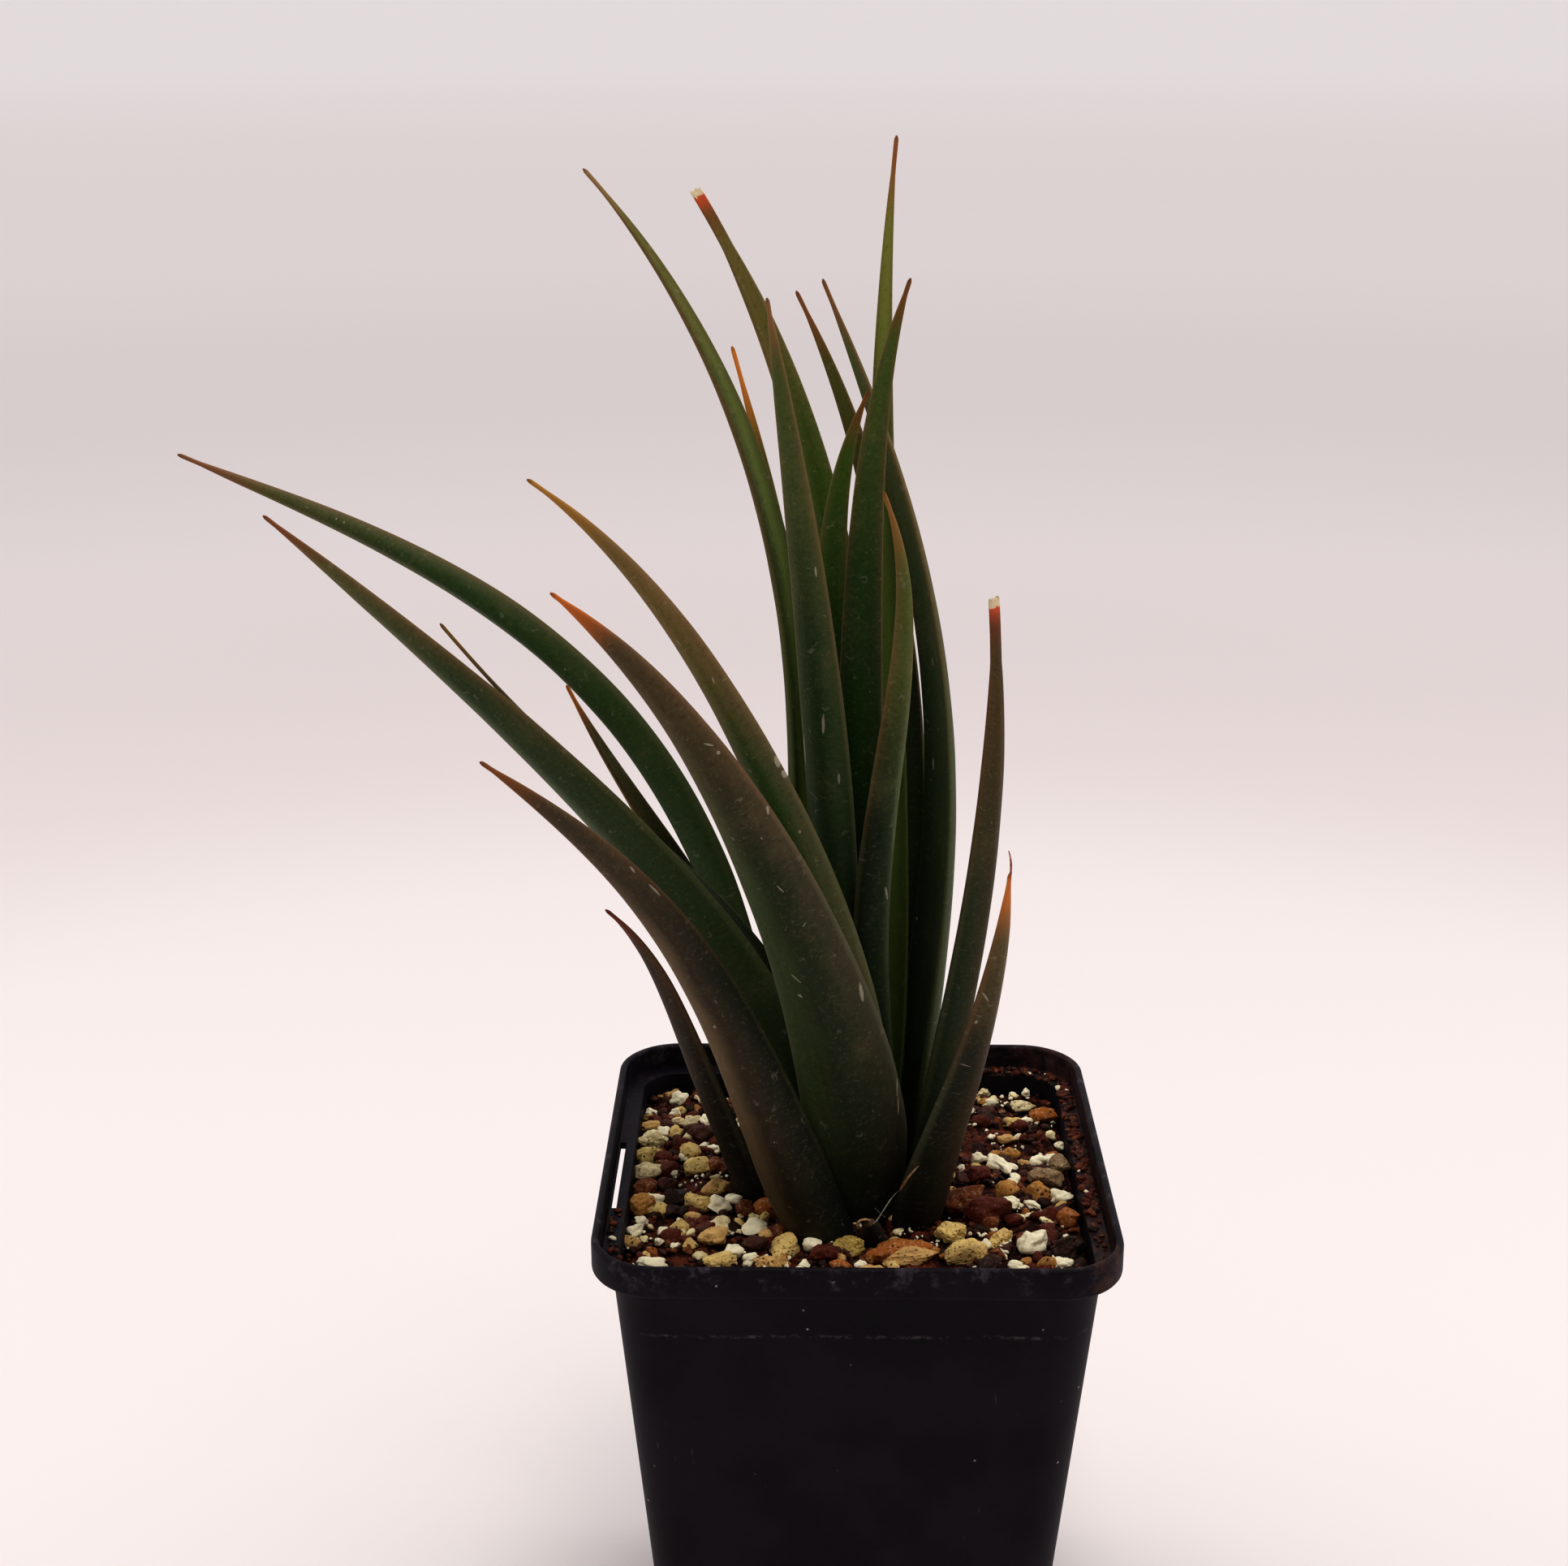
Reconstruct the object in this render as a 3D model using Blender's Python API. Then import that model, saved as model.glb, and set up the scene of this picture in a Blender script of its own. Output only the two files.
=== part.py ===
"""A potted haworthia: a square plastic nursery pot, a gritty potting mix, the short stem of
the plant and its rosette of long leaves, each leaf a solid of its own.

Sizes are in millimetres and angles in degrees, and each mesh is made in metres. +Z is up,
the origin is the centre of the pot's base, and -Y is the side that faces the viewer."""

import math
import random
from dataclasses import dataclass

import bmesh
import bpy
import numpy as np
from mathutils import Matrix, Vector, noise

METRES = 0.001
CLEARANCE = 0.3

# Pot
POT_WIDTH = 70.0
POT_HEIGHT = 80.0
POT_BASE_WIDTH = 51.0
POT_CORNER = 9.0
POT_BASE_CORNER = 6.0
COLLAR_HEIGHT = 4.6
COLLAR_STEP = 2.7
COLLAR_WALL = 1.1
BODY_WALL = 1.0
FLOOR_THICKNESS = 1.6
EDGE_ROUND = 0.5
CORNER_STEPS = 6
INNER_CORNER_SHARE = 0.6
SLOT_LENGTH = 19.8
SLOT_WIDTH = 0.8
SLOT_REACH = 33.2
SLOT_MIDDLE_Y = -2.2
CUTTER_HEIGHT = 4.0
DRAIN_RADIUS = 3.5
DRAIN_REACH = 15.0
DRAIN_SIDES = 20
# The collar's foot as height above it and distance in, and the rim as drop and distance in
COLLAR_FOOT = ((0.0, 0.7), (0.25, 0.2), (0.8, 0.0))
RIM = ((0.5, 0.0), (0.1, 0.15), (0.0, 0.55), (0.2, 1.0), (0.8, 1.1))

# Potting mix
SOIL_LEVEL = 73.7
SOIL_SIDES = 48
SOIL_BANDS = 5
SOIL_LUMP_HEIGHT = 0.7
SOIL_LUMP_SPACING = 6.0
SOIL_MOUND = 0.6
SOIL_EDGE_DROP = 2.0
HOLE_MIDDLE = Vector((-1.5, -1.5, 0.0))
HOLE_RADIUS = 16.8
HOLE_BOTTOM = 61.0
STUB_BULGE = 1.6
STUB_BULGE_SPREAD = 16.0

# Stem: distances in from the hole's wall at its heights, from the foot to the top
CROWN_TAPER = 1.7
CROWN_TAPER_HEIGHT = 2.7
CROWN_ROUND_DROP = 0.8
CROWN_ROUND = 0.6

# Rosette
AXIS = Vector((-1.5, -0.5, 0.0))
CROWN_TOP = 68.7
LEAF_FOOT = CROWN_TOP + CLEARANCE
LEAF_RINGS = 18
TIP_WIDTH = 0.8
LEAST_THICKNESS = 0.65
MARGIN_THICKNESS = 0.7
FOOT_SHARE = 0.2
NARROWING_START = 0.15
TIP_FULLNESS = 0.8
THINNING = 0.8
TURNING_RATE = 1.3
# Cross-section: places across the blade, hollow of the inner face and keel of the outer one
SECTION_STEPS = (-1.0, -0.55, 0.0, 0.55, 1.0)
MARGIN_SHARE = 0.7
BACK_ROUNDNESS = 0.75
CHANNEL_DEPTH = 0.10
LEAST_CHANNEL = 0.02
CHANNEL_LIFT = 0.35
KEEL_AT_FOOT = 0.25
KEEL_GAIN = 0.35

# Grit
GRIT_SEED = 11
SMALL_GRIT = 80
SMALL_GRIT_SIZES = (1.4, 2.4)
SMALL_GRIT_SPACING = 1.0
LARGE_STONE = 4.5
WALL_MARGIN = 0.5
STONE_UNEVENNESS = 0.10
STONE_TILT = 0.25
STONE_STANDS_OUT = 0.18
STONE_FLATNESS = (0.75, 0.95)
GRIT_BREADTHS = (0.7, 0.95)
NUDGE = 0.25
NUDGES = 60
NUDGE_EASE = 0.98

# Plain colours, and the distance from the axis at which a leaf is fully bronze
POT_COLOUR = (0.018, 0.015, 0.017)
SOIL_COLOUR = (0.16, 0.075, 0.045)
STEM_COLOUR = (0.30, 0.27, 0.14)
GREEN = (0.055, 0.095, 0.040)
BRONZE = (0.110, 0.085, 0.050)
BRONZE_REACH = 13.0


@dataclass
class Leaf:
    """One leaf. The middle of the blade starts on the stem, at an angle and a distance from
    the rosette's axis, and runs through the points given, from the lowest to the tip."""

    foot_turn: float
    foot_reach: float
    points: list
    width: float
    thickness: float
    tip_turn: float
    fullness: float
    foot_width: float = 0.6
    heart_turn: float = None
    tip_width: float = TIP_WIDTH


LEAVES = {
    "leaf_left_high": Leaf(
        157, 10.5, [(-21.5, 11, 120), (-40, 12, 146.5), (-67.5, 15, 164.5), (-93, 18, 175)],
        width=8.2, thickness=4.4, tip_turn=245, fullness=1.35, foot_width=0.5,
    ),
    "leaf_left_low": Leaf(
        228, 8.5, [(-20, -7.5, 113.5), (-38.5, -7.5, 136.5), (-58.5, -9, 157), (-75.5, -10, 172.5)],
        width=12.6, thickness=3.0, tip_turn=224, fullness=1.2, foot_width=0.45,
    ),
    "leaf_left_slim": Leaf(
        145, 8.0, [(-16.5, 1.5, 112), (-27, -1, 125), (-39.5, -2, 138.5), (-55, -2, 156.5)],
        width=4.6, thickness=1.8, tip_turn=190, fullness=1.25,
    ),
    "leaf_left_inner": Leaf(
        132, 11.5, [(-20, 13.5, 107), (-25, 13.5, 116.5), (-32, 14.5, 128), (-40.5, 16, 143)],
        width=6.2, thickness=1.8, tip_turn=145, fullness=1.4,
    ),
    "leaf_left_short": Leaf(
        191, 13.0, [(-17.5, -4, 82.5), (-22, -6, 95.5), (-27, -8, 109.5), (-33.5, -10, 119.5)],
        width=8.2, thickness=2.8, tip_turn=214, fullness=1.4, foot_width=0.95,
    ),
    "leaf_front_left": Leaf(
        268, 15.3, [(-10.5, -16.8, 89), (-18.5, -18.5, 109.5), (-30.5, -23, 129.5), (-47, -27, 145.5)],
        width=9.5, thickness=3.4, tip_turn=264, fullness=1.15, foot_width=0.8,
    ),
    "leaf_front_broad": Leaf(
        284, 10.2, [(-1.5, -15.5, 98), (-10.8, -21, 127), (-23, -25, 150.5), (-37.5, -29, 167.3)],
        width=14.2, thickness=4.6, tip_turn=250, fullness=1.1,
    ),
    "leaf_front_arched": Leaf(
        268, 7.5, [(-5.5, -12, 121), (-15.2, -15, 145.3), (-25.5, -17, 163), (-41, -19, 179)],
        width=8.4, thickness=3.2, tip_turn=242, fullness=1.35, foot_width=0.5,
    ),
    "leaf_front_upright": Leaf(
        326, 6.0, [(2.5, -7.5, 117.5), (4.5, -10.5, 143.5), (5.5, -12, 161), (2.5, -13.5, 176.5)],
        width=7.0, thickness=2.6, tip_turn=300, fullness=1.6,
    ),
    "leaf_right_short": Leaf(
        323, 13.5, [(12, -13, 85.5), (15, -16, 98.5), (17.6, -19, 113), (19, -21, 129)],
        width=11.6, thickness=3.4, tip_turn=320, fullness=1.0, foot_width=0.75,
    ),
    "leaf_right_cut": Leaf(
        345, 10.5, [(12.9, -4.5, 94.5), (16.3, -6.2, 117), (17.8, -8, 143), (17, -9, 161.5)],
        width=7.4, thickness=2.8, tip_turn=310, fullness=1.6, foot_width=0.7, tip_width=1.8,
    ),
    "leaf_right_tall": Leaf(
        19, 10.0, [(11.5, 4.8, 112), (11.9, 5.3, 136.5), (5.2, 8, 173), (-5, 12, 199.5)],
        width=8.4, thickness=3.0, tip_turn=35, fullness=1.35,
    ),
    "leaf_back_right": Leaf(
        54, 10.5, [(7, 13, 109.5), (7, 13.5, 139.5), (1, 17, 173.5), (-8.5, 20, 197)],
        width=7.2, thickness=2.6, tip_turn=72, fullness=1.45,
    ),
    "leaf_back_tallest": Leaf(
        41, 6.0, [(5, 7, 112), (4, 9.5, 144.5), (3, 12, 186), (4.5, 15, 217.5)],
        width=7.3, thickness=2.4, tip_turn=95, fullness=1.1,
    ),
    "leaf_back_cut": Leaf(
        91, 11.0, [(-0.5, 12.5, 110), (-2, 15, 151), (-9.3, 20, 183), (-22, 25, 209.5)],
        width=7.5, thickness=2.6, tip_turn=111, fullness=2.1, tip_width=1.6,
    ),
    "leaf_back_slim": Leaf(
        102, 8.5, [(-7, 8, 115), (-8, 9, 144.5), (-12.5, 12, 173), (-17, 13.5, 190.5)],
        width=6.0, thickness=2.2, tip_turn=125, fullness=1.3,
    ),
    "leaf_back_left_tall": Leaf(
        154, 5.5, [(-7.9, 2, 123.5), (-10.3, 7, 159.5), (-19.3, 9, 188.5), (-36, 11.5, 213.5)],
        width=7.6, thickness=2.7, tip_turn=142, fullness=1.25,
    ),
    "leaf_heart_front": Leaf(
        218, 3.0, [(-3.5, -3.5, 116), (-5.5, -5, 148.5), (-8.5, -7, 175.5), (-12, -8, 199.5)],
        width=8.2, thickness=2.8, tip_turn=250, fullness=1.8,
    ),
    "leaf_heart_right": Leaf(
        0, 2.5, [(0.5, 0, 114.5), (0.5, 0, 152.5), (1.5, 0, 178.5), (6, 0, 201)],
        width=7.2, thickness=2.2, tip_turn=85, fullness=2.2, heart_turn=40,
    ),
    "leaf_heart_left": Leaf(
        106, 3.0, [(-1, 4.5, 114), (-3.5, 4.5, 151.5), (-3, 5, 171), (1, 5, 186)],
        width=7.4, thickness=2.2, tip_turn=95, fullness=2.2,
    ),
    "leaf_stub": Leaf(
        288, 17.0, [(2.5, -17.3, 73), (2.2, -17.9, 76), (1.4, -18.4, 78.3)],
        width=3.9, thickness=2.4, tip_turn=290, fullness=6.0, foot_width=0.85, tip_width=2.0,
    ),
}

# Stones that stand out on the surface: middle x, middle y, length, breadth, turn
STONES = [
    (-30.2, 12.5, 4.2, 3.2, 10), (-29.8, 7.0, 3.6, 2.6, 30), (-30.3, 2.2, 3.9, 3.0, 0),
    (-30.3, -7.8, 3.6, 3.2, 60), (-30.2, -2.7, 3.4, 2.6, 0), (-31.0, -14.8, 2.6, 1.9, 70),
    (-26.0, 25.8, 2.8, 2.4, 20), (-25.8, 19.3, 2.2, 1.8, 0), (-23.8, 18.6, 2.8, 2.2, 50),
    (-21.6, 18.2, 2.4, 1.8, 100), (-30.0, 17.8, 3.6, 1.6, 5), (-28.0, 15.4, 2.0, 1.7, 0),
    (-26.2, 15.6, 2.6, 1.9, 70), (-22.2, 13.6, 3.8, 3.0, 0), (-23.7, 8.2, 3.4, 2.6, 150),
    (-22.2, 4.2, 3.8, 3.0, 40), (-19.4, 4.2, 3.4, 2.6, 110), (-20.2, 10.0, 2.4, 1.7, 110),
    (-26.8, 3.2, 3.6, 2.8, 20), (-27.9, -5.8, 3.3, 1.9, 5), (-27.3, -8.5, 2.6, 2.1, 0),
    (-24.8, -5.2, 3.4, 2.8, 0), (-19.4, -2.9, 4.0, 2.2, 25), (-21.8, -7.0, 3.4, 2.9, 0),
    (-18.8, -7.8, 3.2, 3.2, 0), (-16.8, -6.0, 2.2, 1.9, 0), (-15.2, -8.2, 3.6, 2.4, 110),
    (-11.8, -8.2, 4.2, 3.0, -20), (-22.2, -11.2, 2.8, 1.9, 160), (-18.6, -13.4, 3.6, 2.4, 165),
    (-24.3, -13.6, 3.2, 2.2, 15), (-13.7, -14.1, 3.6, 2.6, 25), (-7.4, -12.8, 4.0, 2.2, -50),
    (-9.8, -18.8, 4.8, 3.8, 70), (-19.2, -17.4, 3.6, 2.8, 20), (-13.6, -18.2, 3.2, 2.2, 0),
    (-16.4, -20.5, 3.2, 2.4, 60), (-18.2, -23.2, 4.0, 2.4, 5), (-11.2, -23.2, 4.4, 2.2, 0),
    (-27.2, -23.9, 3.8, 2.4, 0), (-5.8, -18.8, 2.6, 1.9, -20), (-4.3, -20.9, 3.4, 2.8, 0),
    (-1.2, -19.4, 4.2, 3.0, 20), (6.2, -20.6, 8.4, 3.2, 14), (9.6, -20.4, 3.4, 2.8, 60),
    (13.0, -15.4, 3.9, 3.3, 40), (14.8, -20.6, 5.0, 3.8, 0), (15.2, -6.6, 4.6, 3.6, 30),
    (18.0, 2.0, 3.2, 3.0, 0), (19.6, -16.4, 4.4, 2.4, 50), (17.6, -9.8, 4.2, 3.0, 0),
    (18.4, 8.0, 2.3, 1.9, 20), (21.2, 5.0, 5.0, 2.6, -50), (23.2, 1.8, 2.6, 1.5, 75),
    (22.9, 8.6, 2.8, 2.2, 10), (26.8, 7.2, 2.4, 2.0, 30), (28.9, 6.4, 3.6, 2.4, -10),
    (30.6, 4.2, 3.4, 3.0, 80), (27.4, 1.2, 4.6, 3.2, 0), (26.0, -3.2, 4.2, 3.2, -40),
    (29.2, -4.4, 3.0, 2.6, 0), (30.2, -10.6, 3.8, 3.1, 80), (21.5, -6.3, 3.4, 1.7, 15),
    (24.8, -6.2, 2.6, 1.4, -50), (24.0, -17.8, 4.6, 3.2, 50), (27.6, -22.4, 2.4, 2.0, 0),
    (25.4, -22.6, 2.6, 2.2, 30), (21.6, -23.4, 2.6, 1.6, 0), (29.0, 21.0, 3.8, 3.0, 0),
    (26.3, 25.6, 3.6, 2.2, 25), (26.4, 20.3, 1.8, 1.5, 0), (21.6, 27.0, 2.2, 1.7, 0),
    (23.0, 13.8, 2.6, 1.7, 10), (20.5, 30.0, 2.0, 1.7, 60), (29.6, -17.6, 4.2, 3.0, 20),
    (-2.0, 22.0, 3.6, 3.0, 0), (6.0, 26.0, 4.2, 3.0, 40), (-10.0, 25.5, 3.8, 2.8, 70),
    (13.5, 20.5, 3.6, 2.6, 0), (-15.5, 20.5, 3.4, 2.6, 30), (2.0, -27.5, 4.0, 3.0, 15),
    (-8.0, -28.0, 3.6, 2.8, 60), (12.0, -28.0, 3.8, 2.8, 0), (20.0, -28.0, 3.4, 2.6, 30),
    (-20.0, -28.2, 3.8, 2.8, 0), (-27.5, -28.0, 3.2, 2.4, 40), (27.5, -27.5, 3.4, 2.6, 0),
]


def clear_scene():
    for item in list(bpy.data.objects):
        bpy.data.objects.remove(item, do_unlink=True)


def principled(name, colour, roughness):
    material = bpy.data.materials.new(name)
    material.use_nodes = True
    shader = material.node_tree.nodes["Principled BSDF"]
    shader.inputs["Base Color"].default_value = (*colour, 1.0)
    shader.inputs["Roughness"].default_value = roughness
    shader.inputs["Metallic"].default_value = 0.0
    return material


def add_object(name, mesh, material):
    item = bpy.data.objects.new(name, mesh)
    bpy.context.scene.collection.objects.link(item)
    mesh.materials.append(material)
    return item


def loft(name, rings):
    """A closed mesh through level or slanted rings of points, each with the same count.
    Every four-sided patch is split the same way, and the first and last rings are capped."""
    work = bmesh.new()
    loops = [[work.verts.new(Vector(point) * METRES) for point in ring] for ring in rings]
    count = len(rings[0])
    for lower, upper in zip(loops, loops[1:]):
        for i in range(count):
            j = (i + 1) % count
            work.faces.new((lower[i], lower[j], upper[j]))
            work.faces.new((lower[i], upper[j], upper[i]))
    cap_strip(work, loops[0])
    cap_strip(work, loops[-1])
    bmesh.ops.recalc_face_normals(work, faces=work.faces)
    mesh = bpy.data.meshes.new(name)
    work.to_mesh(mesh)
    work.free()
    return mesh


def cap_strip(work, loop):
    """Closes a ring by crossing it from side to side, which stays inside a curved section."""
    half = len(loop) // 2
    for i in range(half - 1):
        near, far = loop[i], loop[i + 1]
        across, beyond = loop[-1 - i], loop[-2 - i]
        work.faces.new((near, far, beyond))
        work.faces.new((near, beyond, across))


def smooth(mesh, sharp_degrees=40):
    mesh.shade_smooth()
    mesh.set_sharp_from_angle(angle=math.radians(sharp_degrees))


def boolean(target, operation, helper=None, helpers=None, solver="EXACT"):
    """Joins or cuts the target with an object or a collection, and keeps only the result."""
    modifier = target.modifiers.new(operation.lower(), "BOOLEAN")
    modifier.operation = operation
    modifier.solver = solver
    if helpers is None:
        modifier.object = helper
    else:
        modifier.operand_type = "COLLECTION"
        modifier.collection = helpers
    graph = bpy.context.evaluated_depsgraph_get()
    result = bpy.data.meshes.new_from_object(target.evaluated_get(graph))
    target.modifiers.clear()
    old = target.data
    target.data = result
    result.name = old.name
    bpy.data.meshes.remove(old)
    for item in [helper] if helpers is None else list(helpers.objects):
        bpy.data.objects.remove(item, do_unlink=True)
    if helpers is not None:
        bpy.data.collections.remove(helpers)


def rounded_square(half_width, corner_radius, height):
    """A level square ring with round corners, anticlockwise seen from above."""
    ring = []
    middle = half_width - corner_radius
    for corner in range(4):
        start = corner * math.pi / 2
        side_x = math.copysign(middle, math.cos(start + math.pi / 4))
        side_y = math.copysign(middle, math.sin(start + math.pi / 4))
        for step in range(CORNER_STEPS + 1):
            angle = start + step / CORNER_STEPS * math.pi / 2
            x = side_x + corner_radius * math.cos(angle)
            y = side_y + corner_radius * math.sin(angle)
            ring.append((x, y, height))
    return ring


def body_half_width(height):
    """Half the pot's outer width below the collar, where its wall leans outwards."""
    base = POT_BASE_WIDTH / 2
    top = POT_WIDTH / 2 - COLLAR_STEP
    return base + (top - base) * height / (POT_HEIGHT - COLLAR_HEIGHT)


def body_corner(height):
    """The outer corner radius of the leaning wall."""
    top = POT_CORNER - COLLAR_STEP
    return POT_BASE_CORNER + (top - POT_BASE_CORNER) * height / (POT_HEIGHT - COLLAR_HEIGHT)


def body_ring(height, inset=0.0):
    corner = body_corner(height) - inset * INNER_CORNER_SHARE
    return rounded_square(body_half_width(height) - inset, corner, height)


def collar_ring(height, inset=0.0):
    return rounded_square(POT_WIDTH / 2 - inset, POT_CORNER - inset, height)


def cutter_object(name, work):
    mesh = bpy.data.meshes.new(name)
    work.to_mesh(mesh)
    work.free()
    cutter = bpy.data.objects.new(name, mesh)
    bpy.context.scene.collection.objects.link(cutter)
    return cutter


def box_cutter(name, middle, size):
    work = bmesh.new()
    place = Matrix.Translation(Vector(middle) * METRES)
    stretch = Matrix.Diagonal((*(Vector(size) * METRES), 1.0))
    bmesh.ops.create_cube(work, size=1.0, matrix=place @ stretch)
    return cutter_object(name, work)


def drain_cutter(name, x, y):
    work = bmesh.new()
    bmesh.ops.create_cone(
        work,
        cap_ends=True,
        segments=DRAIN_SIDES,
        radius1=DRAIN_RADIUS * METRES,
        radius2=DRAIN_RADIUS * METRES,
        depth=CUTTER_HEIGHT * METRES,
        matrix=Matrix.Translation(Vector((x, y, 0.0)) * METRES),
    )
    return cutter_object(name, work)


def make_pot():
    """A thin-walled square pot. Its wall leans out to a ledge, where it steps out to an
    upright collar with a rounded rim. A narrow slot runs through the ledge on two sides."""
    step_height = POT_HEIGHT - COLLAR_HEIGHT
    ledge_height = step_height + BODY_WALL
    rings = [
        body_ring(0.0, EDGE_ROUND),
        body_ring(EDGE_ROUND),
        body_ring(step_height - EDGE_ROUND),
        body_ring(step_height, -EDGE_ROUND),
    ]
    for rise, inset in COLLAR_FOOT:
        rings.append(collar_ring(step_height + rise, inset))
    for drop, inset in RIM:
        rings.append(collar_ring(POT_HEIGHT - drop, inset))
    rings += [
        collar_ring(ledge_height + EDGE_ROUND, COLLAR_WALL),
        collar_ring(ledge_height, COLLAR_WALL + EDGE_ROUND),
        body_ring(ledge_height, BODY_WALL - EDGE_ROUND / 2),
        body_ring(ledge_height - EDGE_ROUND, BODY_WALL),
        body_ring(FLOOR_THICKNESS + EDGE_ROUND, BODY_WALL),
        body_ring(FLOOR_THICKNESS, BODY_WALL + EDGE_ROUND),
    ]
    pot = add_object("pot", loft("pot", rings), principled("pot", POT_COLOUR, 0.5))
    for side in (-1, 1):
        middle = (side * SLOT_REACH, SLOT_MIDDLE_Y, step_height)
        boolean(pot, "DIFFERENCE", box_cutter("slot", middle, (SLOT_WIDTH, SLOT_LENGTH, CUTTER_HEIGHT)))
        for end in (-1, 1):
            hole = drain_cutter("drain", side * DRAIN_REACH, end * DRAIN_REACH)
            boolean(pot, "DIFFERENCE", hole)
    smooth(pot.data)
    return pot


def square_reach(angle, half_width, corner_radius):
    """How far a rounded square's edge is from its centre in one direction."""
    across, along = sorted((abs(math.cos(angle)), abs(math.sin(angle))))
    straight = half_width - corner_radius
    if half_width / along * across <= straight:
        return half_width / along
    diagonal = straight * (across + along)
    return diagonal + math.sqrt(diagonal**2 - 2 * straight**2 + corner_radius**2)


def hole_reach(angle):
    """The plant's hole in the mix is round, with a bulge for the stub of an old leaf."""
    away = (math.degrees(angle) - LEAVES["leaf_stub"].foot_turn + 180) % 360 - 180
    return HOLE_RADIUS + STUB_BULGE * math.exp(-((away / STUB_BULGE_SPREAD) ** 2))


def hole_ring(height, inset=0.0):
    ring = []
    for i in range(SOIL_SIDES):
        angle = 2 * math.pi * i / SOIL_SIDES
        reach = hole_reach(angle) - inset
        x = HOLE_MIDDLE.x + reach * math.cos(angle)
        y = HOLE_MIDDLE.y + reach * math.sin(angle)
        ring.append((x, y, height))
    return ring


def soil_half_width(height):
    return body_half_width(height) - BODY_WALL - CLEARANCE


def soil_corner(height):
    return body_corner(height) - BODY_WALL * INNER_CORNER_SHARE


def soil_wall_ring(height):
    ring = []
    for i in range(SOIL_SIDES):
        angle = 2 * math.pi * i / SOIL_SIDES
        reach = square_reach(angle, soil_half_width(height), soil_corner(height))
        ring.append((reach * math.cos(angle), reach * math.sin(angle), height))
    return ring


def soil_height(x, y):
    """The surface: a slight mound round the plant, with lumps."""
    lumps = noise.noise(Vector((x, y, 0.0)) / SOIL_LUMP_SPACING) * SOIL_LUMP_HEIGHT
    reach = math.hypot(x - AXIS.x, y - AXIS.y) / (POT_WIDTH / 2)
    return SOIL_LEVEL + SOIL_MOUND * (1.0 - reach) + lumps


def make_soil_block():
    inner = hole_ring(0.0)
    outer = soil_wall_ring(SOIL_LEVEL)
    rings = [hole_ring(HOLE_BOTTOM)]
    for band in range(SOIL_BANDS + 1):
        share = band / SOIL_BANDS
        ring = []
        for near, far in zip(inner, outer):
            x = near[0] + (far[0] - near[0]) * share
            y = near[1] + (far[1] - near[1]) * share
            ring.append((x, y, soil_height(x, y)))
        rings.append(ring)
    rings.append(soil_wall_ring(SOIL_LEVEL - SOIL_EDGE_DROP))
    rings.append(soil_wall_ring(FLOOR_THICKNESS + CLEARANCE + EDGE_ROUND * 2))
    return loft("soil", rings)


def pebble(work, middle, size, turn, rng, detail):
    """A rounded, uneven stone: a ball with its points moved in and out, then stretched."""
    made = bmesh.ops.create_icosphere(work, subdivisions=detail, radius=0.5)["verts"]
    for vert in made:
        vert.co *= 1.0 + rng.uniform(-STONE_UNEVENNESS, STONE_UNEVENNESS)
    tilt = Matrix.Rotation(rng.uniform(-STONE_TILT, STONE_TILT), 4, "X")
    place = Matrix.Translation(Vector(middle) * METRES)
    stretch = Matrix.Diagonal((*(Vector(size) * METRES), 1.0))
    bmesh.ops.transform(work, matrix=place @ Matrix.Rotation(turn, 4, "Z") @ tilt @ stretch, verts=made)


def inside_mix(x, y, margin):
    angle = math.atan2(y, x)
    wall = square_reach(angle, soil_half_width(SOIL_LEVEL), soil_corner(SOIL_LEVEL))
    if math.hypot(x, y) > wall - margin:
        return False
    across, along = x - HOLE_MIDDLE.x, y - HOLE_MIDDLE.y
    return math.hypot(across, along) > hole_reach(math.atan2(along, across)) + margin


def place_stone(x, y, length):
    """Moves a stone towards the middle of the mix's ring until it clears wall and hole."""
    margin = length / 2 + WALL_MARGIN
    aim = (HOLE_RADIUS + soil_half_width(SOIL_LEVEL)) / 2
    for _ in range(NUDGES):
        if inside_mix(x, y, margin):
            return x, y
        reach = math.hypot(x, y)
        nearer = reach + math.copysign(NUDGE, aim - reach)
        x, y = x * nearer / reach, y * nearer / reach
        margin *= NUDGE_EASE
    return None


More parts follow.
